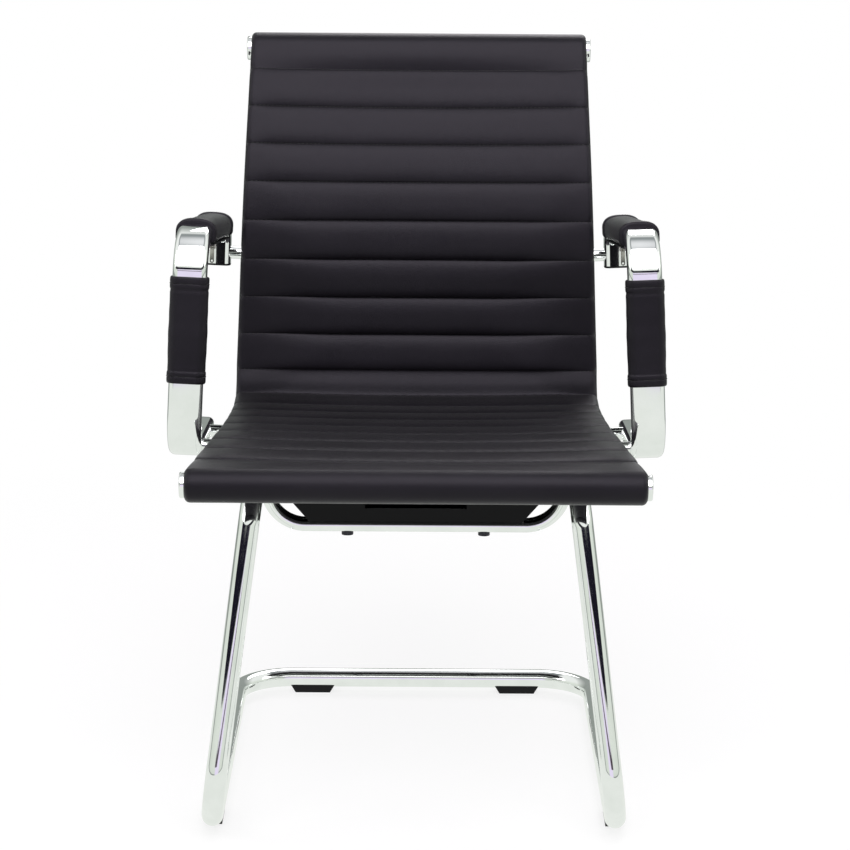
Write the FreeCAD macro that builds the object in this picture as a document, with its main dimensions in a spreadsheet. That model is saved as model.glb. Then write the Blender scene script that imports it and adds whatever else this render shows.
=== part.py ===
import FreeCAD, Part
import math
import os
import Sketcher

# Sled base visitor chair: one bent chrome tube carries a slung, cross-ribbed seat and back,
# with a loop arm at each side. X is across the chair, +Y to the back, +Z up, floor at Z 0.
V = FreeCAD.Vector
doc = FreeCAD.newDocument("visitor_chair")
sheet = doc.addObject("Spreadsheet::Sheet", "sizes")

SIZES = [
    # sled frame
    ("tube_dia", 25.0, "outside diameter of the sled tube"),
    ("tube_wall", 2.0, "wall of the sled tube"),
    ("runner_spacing", 470.0, "between the two runners' centre lines"),
    ("runner_reach", 594.0, "front of the foot to the back of the rear bar"),
    ("foot_bend", 60.0, "centre line radius where a runner turns up into its leg"),
    ("rear_bend", 72.0, "centre line radius at the rear corners on the floor"),
    ("leg_lean", 17.0, "degrees that a leg leans back"),
    ("hanger_spacing", 377.0, "between the two under-seat rails"),
    ("hanger_drop", 31.0, "front roll's axis down to the under-seat rails' centre line"),
    ("hanger_end", 405.0, "front of the foot to the rear end of an under-seat rail"),
    ("hanger_bend", 52.0, "centre line radius from leg to under-seat rail"),
    ("hanger_plug_head", 2.5, "thickness of an end plug's head"),
    ("hanger_plug_shank", 14.0, "length of an end plug inside its tube"),
    ("plug_fit", 0.1, "radial gap round a plug's shank"),
    # glides
    ("glide_lift", 6.0, "floor to the underside of the sled tube"),
    ("glide_length", 58.0, "glide along its tube, at the top"),
    ("glide_foot", 46.0, "glide along its tube, at the floor"),
    ("glide_width", 19.0, "glide across its tube"),
    ("glide_hug", 4.0, "how far a glide reaches up round its tube"),
    ("glide_peg_dia", 6.0, "peg that holds a glide in its tube"),
    ("glide_peg_length", 6.0, "how far the peg stands into the tube"),
    ("glide_rear_place", 137.0, "middle of the chair to a rear glide"),
    ("glide_front_place", 104.0, "front of the foot to a front glide"),
    # stretchers and brackets
    ("stretcher_width", 26.0, "flat oval stretcher, front to back"),
    ("stretcher_thick", 14.5, "flat oval stretcher, top to bottom"),
    ("stretcher_wall", 1.8, "wall of a stretcher"),
    ("stretcher_drop", 58.0, "under-seat rails down to a stretcher's flat middle"),
    ("stretcher_flat", 320.0, "between the corners of a stretcher's flat middle"),
    ("stretcher_bend", 46.0, "centre line radius where a stretcher turns up"),
    ("stretcher_front", 187.0, "front of the foot to the front stretcher"),
    ("stretcher_pitch", 155.0, "front stretcher to rear stretcher"),
    ("bracket_length", 330.0, "folded bracket, across the chair"),
    ("bracket_web", 32.0, "outside width of a bracket's channel"),
    ("bracket_flange", 17.0, "width of each flange"),
    ("bracket_sheet", 2.5, "sheet thickness of a bracket"),
    ("bracket_foot", 250.0, "length of a bracket's web on its stretcher"),
    ("bracket_corner", 46.0, "height to which a bracket's lower corners are cut away"),
    ("bracket_notch", 120.0, "window in a bracket's walls, across the chair"),
    ("bracket_margin", 16.0, "sheet left below and above a bracket's window"),
    ("bolt_spacing", 162.0, "between the two bolts of a stretcher"),
    ("bolt_dia", 8.0, "stretcher bolt shank"),
    ("bolt_head_dia", 14.0, "stretcher bolt head"),
    ("bolt_head_height", 5.0, "stretcher bolt head"),
    ("bolt_clear", 0.2, "radial gap round a bolt's shank in its holes"),
    ("nut_across", 13.0, "nut across flats"),
    ("nut_height", 6.5, "nut height"),
    ("screw_spacing", 260.0, "between a flange's two seat screws"),
    ("screw_dia", 6.0, "seat screw shank"),
    ("screw_head_dia", 11.0, "seat screw head"),
    ("screw_head_height", 3.5, "seat screw head"),
    # seat and back, along their middle line
    ("seat_setback", 20.0, "front of the foot back to the front roll's axis"),
    ("seat_roll_height", 427.0, "axis of the front roll"),
    ("seat_rise", 7.3, "degrees that the seat climbs away from the front roll"),
    ("crown_radius", 1015.0, "gentle crown of the front of the seat"),
    ("crown_turn", 10.0, "degrees turned over the crown"),
    ("seat_flat", 183.0, "straight rear part of the seat"),
    ("lead_radius", 325.0, "easing into the corner"),
    ("lead_turn", 9.7, "degrees turned while easing in"),
    ("corner_radius", 49.0, "corner between seat and back"),
    ("corner_turn", 75.6, "degrees turned in the corner"),
    ("lumbar_radius", 772.0, "hollow below the lumbar swell"),
    ("lumbar_turn", 8.4, "degrees turned below the lumbar swell"),
    ("shoulder_radius", 410.0, "back leaning away above the lumbar swell"),
    ("shoulder_turn", 21.2, "degrees turned above the lumbar swell"),
    ("head_radius", 787.0, "top of the back"),
    ("head_turn", 10.6, "degrees turned at the top"),
    # seat and back, seen from above and from the front
    ("seat_half_front", 260.0, "half width of the upholstery at the front roll"),
    ("seat_half_rear", 229.0, "half width at the rear of the seat"),
    ("flare_start", 385.0, "front roll's axis to where the seat starts to widen"),
    ("back_taper_rise", 43.0, "front roll's axis up to where the back starts to narrow"),
    ("back_half_top", 213.0, "half width at the top roll"),
    # upholstery layers, measured from the middle line
    ("roll_radius", 20.0, "leather over the front and top cross tubes"),
    ("skin_front", 12.5, "middle line to the bottom of a front seam"),
    ("skin_front_inner", 9.6, "middle line to the inner face of the ribbed cover"),
    ("skin_rear", 12.5, "middle line to the outer face of the rear cover"),
    ("skin_rear_inner", 9.7, "middle line to the inner face of the rear cover"),
    ("rib_first", 43.0, "front roll's axis to the first seam"),
    ("rib_pitch", 47.83, "between seams, along the middle line"),
    ("rib_seams", 18.0, "number of cross seams"),
    ("rib_crown", 5.5, "height of a rib over its seams"),
    ("rib_edge_crown", 1.8, "height of a rib at its ends"),
    ("rib_fade", 30.0, "length over which a rib sinks at each end"),
    ("side_wall", 2.7, "leather over the outer side of a side rail"),
    ("soft_gap", 0.3, "gap between a soft piece and what it covers"),
    # hidden frame of the seat and back
    ("rail_width", 17.0, "side rail across the chair"),
    ("rail_depth", 18.0, "side rail, front to back of the upholstery"),
    ("rail_wall", 1.8, "wall of a side rail"),
    ("cross_tube_dia", 30.0, "front and top cross tubes"),
    ("cross_tube_wall", 2.0, "wall of the cross tubes"),
    ("cap_proud", 5.5, "how far an end cap stands out"),
    ("cap_recess_dia", 9.0, "recess in the middle of an end cap"),
    ("cap_recess_depth", 2.5, "depth of that recess"),
    ("cap_shank", 16.0, "end cap inside its tube"),
    ("cap_edge", 1.6, "rounded rim of an end cap"),
    ("seat_plate_width", 68.0, "seat plate, front to back"),
    ("seat_plate_thick", 4.0, "seat plate"),
    ("back_bar_depth", 25.0, "bar across the back behind the arm bolts"),
    ("back_bar_thick", 9.0, "bar across the back behind the arm bolts"),
    ("back_bar_rear", 8.7, "middle line to the bar's rear face"),
    # arms
    ("arm_width", 40.0, "flat oval arm tube, across"),
    ("arm_thick", 20.0, "flat oval arm tube, the other way"),
    ("arm_corner", 7.0, "rounded edges of the arm tube"),
    ("arm_wall", 1.8, "wall of the arm tube"),
    ("arm_offset", 273.0, "middle of the chair to the arm's post"),
    ("arm_toe", 1.7, "degrees that an arm turns in towards the back"),
    ("arm_lean", 2.2, "degrees that an arm leans in towards its top"),
    ("arm_post_place", 163.0, "front of the foot to the foot of the post"),
        ("arm_low_reach", 157.0, "foot of the post to the end of the lower run"),
    ("arm_post_lean", 6.0, "degrees that the post leans back"),
    ("arm_height", 256.0, "lower run's centre line to where post and top run would meet"),
    ("arm_top_fall", 6.8, "degrees that the top run falls towards the back"),
    ("arm_rear_reach", 324.0, "foot of the post to the rear leg of the arm"),
    ("arm_rear_rise", 173.0, "lower run's centre line up to the end of the rear leg"),
    ("arm_low_bend", 42.0, "centre line radius at the foot of the post"),
    ("arm_top_bend", 46.0, "centre line radius at the top of the post"),
    ("arm_rear_bend", 24.0, "centre line radius at the rear of the top run"),
    ("arm_plug_head", 2.0, "thickness of an arm plug's head"),
    ("arm_plug_shank", 10.0, "arm plug inside its tube"),
    ("arm_bolt_dia", 8.0, "arm bolt shank"),
    ("arm_bolt_head", 13.0, "arm bolt head"),
    ("arm_bolt_head_height", 7.0, "arm bolt head"),
    ("arm_bolt_reach", 26.0, "arm bolt shank beyond the arm tube"),
    ("arm_bolt_access", 14.6, "hole in the outer wall that lets the head in"),
    ("arm_bolt_rear_rise", 14.0, "end of the rear leg up to its bolt"),
    ("arm_bolt_low_first", 52.0, "foot of the post to the first lower bolt"),
    ("arm_bolt_low_pitch", 76.0, "between the two lower bolts"),
    ("spacer_dia", 16.0, "spacer between arm and seat"),
    # arm pad and sleeve
    ("wrap_wall", 2.0, "leather round the arm tube"),
    ("sleeve_rise", 84.0, "lower run's centre line up to the sleeve's lower hem"),
    ("sleeve_length", 125.0, "sleeve along the post"),
    ("hem_height", 14.0, "turned hem at each end of a sleeve or pad"),
    ("hem_wall", 0.9, "extra thickness of a hem"),
    ("pad_start", 48.0, "top of the post's corner to the pad's front hem"),
    ("pad_length", 228.0, "pad along the top run"),
    ("pad_foam", 8.0, "foam over the arm tube"),
    ("pad_side", 3.5, "padding at the side of the tube"),
    ("pad_flat_share", 0.9, "part of a pad's width that is flat underneath"),
    # zip under each pad
    ("zip_width", 6.0, "zip chain"),
    ("zip_thick", 1.4, "zip chain"),
    ("zip_offset", 18.0, "middle of a pad to its zip, towards the seat"),
    ("zip_inset", 16.0, "pad hem to the end of the zip chain"),
    ("slider_length", 10.0, "zip slider"),
    ("slider_wall", 1.4, "zip slider"),
    ("slider_gap", 0.25, "slider to chain and to leather"),
    ("slider_travel", 184.0, "travel of the slider along the chain"),
    ("pull_length", 17.0, "zip pull"),
    ("pull_width", 5.0, "zip pull"),
    ("pull_thick", 1.5, "zip pull"),
    ("pull_pin_dia", 1.2, "pin that the pull hangs on"),
    ("pull_pin_gap", 0.08, "radial gap round the pull's pin"),
    ("pull_eye", 1.4, "rounded top of the pull round its pin"),
    ("slider_ear_wall", 1.2, "each of the two ears that hold the pull's pin"),
    ("slider_ear_drop", 2.6, "how far the ears stand below the slider"),
]
for row, (alias, value, note) in enumerate(SIZES, start=1):
    sheet.set("A%d" % row, note)
    sheet.set("B%d" % row, str(value))
    sheet.setAlias("B%d" % row, alias)
doc.recompute()


def size(alias):
    """Value of a named cell."""
    return float(sheet.get(alias))


def feature(label, shape):
    """A sub-part whose shape comes from the geometry functions."""
    item = doc.addObject("Part::Feature", label)
    item.Label = label
    item.Shape = shape
    return item


def mirrored(shape):
    """The same shape on the other side of the chair."""
    return shape.mirror(V(0, 0, 0), V(1, 0, 0))


def both_sides(name, shape):
    """Left piece as given and its mirror image on the right."""
    feature(name + "_left", shape)
    feature(name + "_right", mirrored(shape))


# Plane of the chair's side: the middle line of the upholstery as tangent runs and arcs.
class Track:
    """A tangent chain in the YZ plane, read by the distance travelled along it."""

    def __init__(self, y, z, heading):
        self.legs = []
        self.y, self.z, self.heading = y, z, heading
        self.length = 0.0

    def run(self, length):
        self.add(length, 0.0)

    def arc(self, radius, turn):
        self.add(radius * math.radians(abs(turn)), turn)

    def add(self, length, turn):
        self.legs.append((self.length, length, turn, self.y, self.z, self.heading))
        self.y, self.z, self.heading = self.step(self.legs[-1], length)
        self.length += length

    @staticmethod
    def step(leg, travel):
        """Place and heading after some travel on one leg."""
        start, length, turn, y, z, heading = leg
        swing = turn * travel / length
        middle = math.radians(heading + swing / 2)
        half = math.radians(swing / 2)
        chord = travel * (math.sin(half) / half if half else 1.0)
        return y + chord * math.cos(middle), z + chord * math.sin(middle), heading + swing

    def at(self, travel, rise=0.0, x=0.0):
        """Point at a distance along the line and a distance above it, towards the sitter."""
        leg = self.legs[0]
        for candidate in self.legs:
            if travel >= candidate[0]:
                leg = candidate
        y, z, heading = self.step(leg, travel - leg[0])
        angle = math.radians(heading)
        return V(x, y - rise * math.sin(angle), z + rise * math.cos(angle))

    def heading_at(self, travel):
        ahead = self.at(travel + 0.01) - self.at(travel - 0.01)
        return math.degrees(math.atan2(ahead.z, ahead.y))

    def travel_at(self, y):
        """Distance along the seat at which the line reaches a depth."""
        low, high = 0.0, self.legs[2][0]
        for _ in range(50):
            middle = (low + high) / 2
            if self.at(middle).y < y:
                low = middle
            else:
                high = middle
        return low

    def edges(self, start, end, rise):
        """Lines and arcs parallel to the middle line between two distances."""
        found = []
        for first, length, turn, _, _, _ in self.legs:
            a, b = max(start, first), min(end, first + length)
            if b - a < 1e-6:
                continue
            if turn == 0:
                found.append(Part.LineSegment(self.at(a, rise), self.at(b, rise)).toShape())
            else:
                points = [self.at(a, rise), self.at((a + b) / 2, rise), self.at(b, rise)]
                found.append(Part.Arc(*points).toShape())
        return found

    def band(self, start, end, low, high, half_width):
        """Slab between two rises, square to the side plane and centred across the chair."""
        top = self.edges(start, end, high)
        bottom = self.edges(start, end, low)
        ends = [
            Part.LineSegment(self.at(start, low), self.at(start, high)).toShape(),
            Part.LineSegment(self.at(end, low), self.at(end, high)).toShape(),
        ]
        wire = Part.Wire(Part.__sortEdges__(top + bottom + ends))
        face = Part.Face(wire)
        face.translate(V(-half_width, 0, 0))
        return face.extrude(V(2 * half_width, 0, 0))


seat_line = Track(size("seat_setback"), size("seat_roll_height"), size("seat_rise"))
seat_line.arc(size("crown_radius"), -size("crown_turn"))
seat_line.run(size("seat_flat"))
seat_line.arc(size("lead_radius"), size("lead_turn"))
seat_line.arc(size("corner_radius"), size("corner_turn"))
seat_line.arc(size("lumbar_radius"), size("lumbar_turn"))
seat_line.arc(size("shoulder_radius"), -size("shoulder_turn"))
seat_line.arc(size("head_radius"), -size("head_turn"))

# The origin lies under the middle of the chair's depth, so every depth is moved by this much.
front_most = min(0.0, size("seat_setback") - size("roll_radius"))
rear_most = max(size("runner_reach"), seat_line.y + size("roll_radius"))
DEPTH = -(front_most + rear_most) / 2
seat_line.y += DEPTH
seat_line.legs = [(a, b, c, y + DEPTH, z, h) for a, b, c, y, z, h in seat_line.legs]
ROLL_Y = DEPTH + size("seat_setback")
FAR = 2 * seat_line.length


# Bent tubes
def rounded_path(corners, radii):
    """Wire of straight runs through the corners, each corner turned by a tangent arc."""
    edges = []
    last = corners[0]
    for before, corner, after, radius in zip(corners, corners[1:], corners[2:], radii):
        back = (before - corner).normalize()
        ahead = (after - corner).normalize()
        half = back.getAngle(ahead) / 2
        reach = radius / math.tan(half)
        middle = (back + ahead).normalize() * (radius / math.sin(half) - radius)
        start, end = corner + back * reach, corner + ahead * reach
        edges.append(Part.LineSegment(last, start).toShape())
        edges.append(Part.Arc(start, corner + middle, end).toShape())
        last = end
    edges.append(Part.LineSegment(last, corners[-1]).toShape())
    return Part.Wire(edges)


def flat_oval(width, thick, centre, along, across, radius):
    """Outline of a pressed tube, square to a direction: straight sides and quarter circles."""
    if width - thick < 1e-6:
        return Part.Wire([Part.makeCircle(thick / 2, centre, along)])
    side = V(across).normalize()
    up = along.cross(side).normalize()
    flat_x, flat_z = width / 2 - radius, thick / 2 - radius
    edges = []
    last = None
    for quarter in range(4):
        turn = [math.radians(90 * quarter + step) for step in (0, 45, 90)]
        sx, sz = (1, -1, -1, 1)[quarter], (1, 1, -1, -1)[quarter]
        middle = centre + side * (sx * flat_x) + up * (sz * flat_z)
        points = [middle + side * (radius * math.cos(a)) + up * (radius * math.sin(a)) for a in turn]
        if last is not None and last.distanceToPoint(points[0]) > 1e-6:
            edges.append(Part.makeLine(last, points[0]))
        edges.append(Part.Arc(*points).toShape())
        last = points[2]
    first = edges[0].valueAt(edges[0].FirstParameter)
    if last.distanceToPoint(first) > 1e-6:
        edges.append(Part.makeLine(last, first))
    return Part.Wire(edges)


def swept(path, width, thick, across, radius):
    """Solid of a pressed or round section carried along a path."""
    start = path.Edges[0].Vertexes[0].Point
    along = path.Edges[0].Vertexes[1].Point - start
    section = flat_oval(width, thick, start, along.normalize(), across, radius)
    solid = path.makePipeShell([section], True, False)
    if solid.Volume < 0:
        solid.reverse()
    return solid


def tube(path, width, thick, wall, across, radius):
    """Hollow swept section."""
    outer = swept(path, width, thick, across, radius)
    inner = swept(path, width - 2 * wall, thick - 2 * wall, across, radius - wall)
    return outer, outer.cut(inner)


def cylinder(radius, length, centre, axis):
    """Cylinder along an axis, centred on a point."""
    direction = V(axis).normalize()
    return Part.makeCylinder(radius, length, centre - direction * (length / 2), direction)


# Sled frame: one tube, rail end to rail end
half_runner = size("runner_spacing") / 2
half_hanger = size("hanger_spacing") / 2
tube_radius = size("tube_dia") / 2
hanger_z = size("seat_roll_height") - size("hanger_drop")
floor_line = size("glide_lift") + tube_radius
lean = math.tan(math.radians(size("leg_lean")))
turn_room = size("foot_bend") * (math.tan(math.radians(90 + size("leg_lean")) / 2) - 1)
foot_y = DEPTH + tube_radius - turn_room
knee_y = foot_y + (hanger_z - floor_line) * lean
bar_y = DEPTH + size("runner_reach") - tube_radius
half_path = [
    V(-half_hanger, DEPTH + size("hanger_end"), hanger_z),
    V(-half_hanger, knee_y, hanger_z),
    V(-half_runner, foot_y, floor_line),
    V(-half_runner, bar_y, floor_line),
]
sled_corners = half_path + [V(-p.x, p.y, p.z) for p in reversed(half_path)]
half_radii = [size("hanger_bend"), size("foot_bend"), size("rear_bend")]
sled_path = rounded_path(sled_corners, half_radii + half_radii[::-1])
sled_outer, sled_shape = tube(
    sled_path, size("tube_dia"), size("tube_dia"), size("tube_wall"), V(1, 0, 0), tube_radius
)
glide_places = {
    "glide_front_left": (V(-half_runner, DEPTH + size("glide_front_place"), 0), 90.0),
    "glide_front_right": (V(half_runner, DEPTH + size("glide_front_place"), 0), 90.0),
    "glide_rear_left": (V(-size("glide_rear_place"), bar_y, 0), 0.0),
    "glide_rear_right": (V(size("glide_rear_place"), bar_y, 0), 0.0),
}
peg_hole = size("glide_peg_dia") / 2 + size("plug_fit")
for place, _ in glide_places.values():
    sled_shape = sled_shape.cut(Part.makeCylinder(peg_hole, floor_line, place, V(0, 0, 1)))
feature("sled_frame", sled_shape)


# Sketch helpers for the turned and moulded pieces
def sketch_in(body, role, name, offset=0.0):
    """Sketch on one of the body's own origin planes."""
    plane = [item for item in body.Origin.OriginFeatures if item.Role == role][0]
    sketch = body.newObject("Sketcher::SketchObject", name)
    sketch.AttachmentSupport = [(plane, "")]
    sketch.MapMode = "FlatFace"
    sketch.AttachmentOffset = FreeCAD.Placement(V(0, 0, offset), FreeCAD.Rotation())
    return sketch


def tie(sketch, index, expression):
    """Bind one constraint to the sheet."""
    sketch.setExpression("Constraints[%d]" % index, expression)


def outline(sketch, corners):
    """Closed polygon whose corner coordinates are expressions of the sheet."""
    points = [V(float(sheet.evalExpression(x)), float(sheet.evalExpression(y)), 0) for x, y in corners]
    count = len(points)
    for i, point in enumerate(points):
        sketch.addGeometry(Part.LineSegment(point, points[(i + 1) % count]))
    for i in range(count):
        sketch.addConstraint(Sketcher.Constraint("Coincident", i, 2, (i + 1) % count, 1))
    for i, (x, y) in enumerate(corners):
        for kind, value, text in (("DistanceX", points[i].x, x), ("DistanceY", points[i].y, y)):
            index = sketch.addConstraint(Sketcher.Constraint(kind, -1, 1, i, 1, value))
            tie(sketch, index, text)


def ring(sketch, x, y, radius):
    """Circle whose centre and radius are expressions of the sheet."""
    px, py, r = (float(sheet.evalExpression(text)) for text in (x, y, radius))
    geo = sketch.addGeometry(Part.Circle(V(px, py, 0), V(0, 0, 1), r))
    tie(sketch, sketch.addConstraint(Sketcher.Constraint("DistanceX", -1, 1, geo, 3, px)), x)
    tie(sketch, sketch.addConstraint(Sketcher.Constraint("DistanceY", -1, 1, geo, 3, py)), y)
    tie(sketch, sketch.addConstraint(Sketcher.Constraint("Radius", geo, r)), radius)


def new_body(label):
    body = doc.addObject("PartDesign::Body", label)
    body.Label = label
    return body


def pad(body, sketch, length, middle=False):
    """Pad by an expression of the sheet."""
    item = body.newObject("PartDesign::Pad", sketch.Name + "_pad")
    item.Profile = sketch
    item.setExpression("Length", length)
    item.Midplane = middle
    return item


def pocket_through(body, sketch):
    """Cut right through, both ways from the sketch."""
    item = body.newObject("PartDesign::Pocket", sketch.Name + "_cut")
    item.Profile = sketch
    item.Type = "ThroughAll"
    item.Midplane = True
    return item


def revolve(body, sketch, axis="H_Axis"):
    item = body.newObject("PartDesign::Revolution", sketch.Name + "_turned")
    item.Profile = sketch
    item.ReferenceAxis = (sketch, [axis])
    item.Angle = 360
    return item


# Glides: moulded blocks that hug the tube from below, each with a peg up into it
GLIDE_TOP = "sizes.glide_lift + sizes.glide_hug"
for name, (place, turn) in glide_places.items():
    body = new_body(name)
    sketch = sketch_in(body, "XZ_Plane", name + "_side")
    outline(sketch, [
        ("-sizes.glide_foot / 2", "0"),
        ("sizes.glide_foot / 2", "0"),
        ("sizes.glide_length / 2", GLIDE_TOP),
        ("-sizes.glide_length / 2", GLIDE_TOP),
    ])
    pad(body, sketch, "sizes.glide_width", middle=True)
    sketch = sketch_in(body, "YZ_Plane", name + "_saddle")
    ring(sketch, "0", "sizes.glide_lift + sizes.tube_dia / 2", "sizes.tube_dia / 2")
    pocket_through(body, sketch)
    sketch = sketch_in(body, "XY_Plane", name + "_peg")
    ring(sketch, "0", "0", "sizes.glide_peg_dia / 2")
    pad(body, sketch, "sizes.glide_lift + sizes.tube_wall + sizes.glide_peg_length")
    body.Placement = FreeCAD.Placement(place, FreeCAD.Rotation(V(0, 0, 1), turn))


# Turned plugs and caps, drawn as half profiles along X and spun about it
def turned(label, profile, place, rotation):
    body = new_body(label)
    sketch = sketch_in(body, "XY_Plane", label + "_profile")
    outline(sketch, profile)
    revolve(body, sketch)
    body.Placement = FreeCAD.Placement(place, rotation)
    return body


PLUG_SHANK = "sizes.tube_dia / 2 - sizes.tube_wall - sizes.plug_fit"
plug_profile = [
    ("-sizes.hanger_plug_shank", "0"),
    ("sizes.hanger_plug_head", "0"),
    ("sizes.hanger_plug_head", "sizes.tube_dia / 2 - 1.5"),
    ("sizes.hanger_plug_head - 1.5", "sizes.tube_dia / 2"),
    ("0", "sizes.tube_dia / 2"),
    ("0", PLUG_SHANK),
    ("-sizes.hanger_plug_shank", PLUG_SHANK),
]
for side, sign in (("left", -1), ("right", 1)):
    rear_end = V(sign * half_hanger, DEPTH + size("hanger_end"), hanger_z)
    turned("rail_plug_" + side, plug_profile, rear_end, FreeCAD.Rotation(V(0, 0, 1), 90))

CAP_SHANK = "sizes.cross_tube_dia / 2 - sizes.cross_tube_wall - sizes.plug_fit"
CAP_RIM = "sizes.cross_tube_dia / 2"
cap_profile = [
    ("-sizes.cap_shank", "0"),
    ("sizes.cap_proud - sizes.cap_recess_depth", "0"),
    ("sizes.cap_proud - sizes.cap_recess_depth", "sizes.cap_recess_dia / 2"),
    ("sizes.cap_proud", "sizes.cap_recess_dia / 2"),
    ("sizes.cap_proud", CAP_RIM + " - sizes.cap_edge"),
    ("sizes.cap_proud - sizes.cap_edge / 3", CAP_RIM + " - sizes.cap_edge / 3"),
    ("sizes.cap_proud - sizes.cap_edge", CAP_RIM),
    ("0", CAP_RIM),
    ("0", CAP_SHANK),
    ("-sizes.cap_shank", CAP_SHANK),
]
roll_ends = {
    "front": (seat_line.at(0.0), size("seat_half_front")),
    "top": (seat_line.at(seat_line.length), size("back_half_top")),
}
for where, (axis_point, half) in roll_ends.items():
    for side, sign in (("left", -1), ("right", 1)):
        place = axis_point + V(sign * half, 0, 0)
        spin = FreeCAD.Rotation(V(0, 0, 1), 0 if sign > 0 else 180)
        turned("end_cap_%s_%s" % (where, side), cap_profile, place, spin)

    outer = doc.addObject("Part::Cylinder", where + "_cross_outer")
    inner = doc.addObject("Part::Cylinder", where + "_cross_inner")
    outer.setExpression("Radius", "sizes.cross_tube_dia / 2")
    inner.setExpression("Radius", "sizes.cross_tube_dia / 2 - sizes.cross_tube_wall")
    width = "sizes.seat_half_front * 2" if where == "front" else "sizes.back_half_top * 2"
    for part in (outer, inner):
        part.setExpression("Height", width)
    pipe = doc.addObject("Part::Cut", where + "_cross_tube")
    pipe.Label = where + "_cross_tube"
    pipe.Base = outer
    pipe.Tool = inner
    pipe.Placement = FreeCAD.Placement(axis_point - V(half, 0, 0), FreeCAD.Rotation(V(0, 1, 0), 90))


# Outline of the upholstery seen from above and from the front
def footprint(inset):
    """Block whose sides stand a set distance inside the upholstery's edge."""
    front, rear = size("seat_half_front") - inset, size("seat_half_rear") - inset
    reach = size("flare_start")
    bend = (reach ** 2 + (front - rear) ** 2) / (2 * (front - rear))
    ahead = size("roll_radius") * 1.5
    y_flare, y_front, y_rear = ROLL_Y + reach, ROLL_Y - ahead, FAR

    def half_at(y):
        return rear + bend - math.sqrt(bend ** 2 - (y_flare - y) ** 2)

    middle_y = (y_flare + y_front) / 2
    a, b = V(half_at(y_front), y_front, 0), V(rear, y_flare, 0)
    c = V(rear, y_rear, 0)
    right = [Part.Arc(a, V(half_at(middle_y), middle_y, 0), b).toShape(), Part.LineSegment(b, c).toShape()]
    left = [edge.mirror(V(0, 0, 0), V(1, 0, 0)) for edge in right]
    close = [Part.makeLine(a, V(-a.x, a.y, 0)), Part.makeLine(c, V(-c.x, c.y, 0))]
    plan = Part.Face(Part.Wire(Part.__sortEdges__(right + left + close))).extrude(V(0, 0, FAR))

    top = size("back_half_top") - inset
    z_taper, z_top, high = size("seat_roll_height") + size("back_taper_rise"), seat_line.z, FAR
    slope = (top - rear) / (z_top - z_taper)
    half_high = rear + slope * (high - z_taper)
    wide = front + 60.0
    step = [
        (wide, 0), (wide, z_taper - 0.5), (rear, z_taper), (half_high, high),
        (-half_high, high), (-rear, z_taper), (-wide, z_taper - 0.5), (-wide, 0), (wide, 0),
    ]
    face = Part.Face(Part.makePolygon([V(x, -FAR, z) for x, z in step]))
    return plan.common(face.extrude(V(0, 3 * FAR, 0)))


seam_count = int(round(size("rib_seams")))
seams = [size("rib_first") + i * size("rib_pitch") for i in range(seam_count)]
roll = size("roll_radius")
full = footprint(0.0)
WIDE = size("seat_half_front") + 40.0


def half_width_at(travel):
    """Half width of the upholstery over a point of its middle line."""
    place = seat_line.at(travel)
    cut = full.common(cylinder(0.5, 4 * WIDE, place, V(1, 0, 0)))
    return cut.BoundBox.XMax


def arc_or_line(first, middle, last):
    """Edge through three points, straight where they are in line."""
    if middle.distanceToLine(first, last - first) < 1e-4:
        return Part.makeLine(first, last)
    return Part.Arc(first, middle, last).toShape()


def rib(start, end, start_rise, end_rise, crown):
    """One padded rib: full in the middle and sinking to its ends."""
    middle = (start + end) / 2
    edge = half_width_at(middle)
    stations = [(-edge - 9, 0), (-edge + size("rib_fade"), 1), (edge - size("rib_fade"), 1), (edge + 9, 0)]
    sections = []
    base = size("skin_front_inner")
    for x, full_height in stations:
        lift = crown if full_height else crown * size("rib_edge_crown") / size("rib_crown")
        low_a, low_b = seat_line.at(start, base, x), seat_line.at(end, base, x)
        high_a, high_b = seat_line.at(start, start_rise, x), seat_line.at(end, end_rise, x)
        top = seat_line.at(middle, (start_rise + end_rise) / 2 + lift, x)
        sections.append(Part.Wire([
            arc_or_line(low_a, seat_line.at(middle, base, x), low_b),
            Part.makeLine(low_b, high_b),
            Part.Arc(high_b, top, high_a).toShape(),
            Part.makeLine(high_a, low_a),
        ]))
    return Part.makeLoft(sections, True, True)


# Ribbed cover: front roll, ribs, top roll
skin = size("skin_front")
crown_height = size("rib_crown")
end = seat_line.length
ribs = [rib(0.0, seams[0], roll - 0.5, skin, crown_height * 0.4)]
for first, second in zip(seams, seams[1:]):
    ribs.append(rib(first, second, skin, skin, crown_height))
ribs.append(rib(seams[-1], end, skin, roll - 0.5, crown_height * 0.4))

tube_clear = size("cross_tube_dia") / 2 + size("soft_gap")
rolls = []
for travel in (0.0, end):
    axis_point = seat_line.at(travel)
    sleeve = cylinder(roll, 2 * WIDE, axis_point, V(1, 0, 0))
    rolls.append(sleeve)
hollow = [cylinder(tube_clear, 3 * WIDE, seat_line.at(t), V(1, 0, 0)) for t in (0.0, end)]
inside = seat_line.band(0.0, end, -2 * roll, size("skin_front_inner"), 2 * WIDE)
rear_skin = size("skin_rear")
mouth_front = seat_line.band(0.0, 2 * roll, -rear_skin, size("skin_front_inner"), 2 * WIDE)
mouth_top = seat_line.band(end - 2 * roll, end, -rear_skin, size("skin_front_inner"), 2 * WIDE)
cover = rolls[0].fuse(rolls[1:])
cover = cover.cut(Part.makeCompound([mouth_front, mouth_top]))
cover = cover.fuse(ribs).removeSplitter()
cover = cover.cut(Part.makeCompound(hollow)).common(full)
feature("ribbed_cover", cover)

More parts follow.
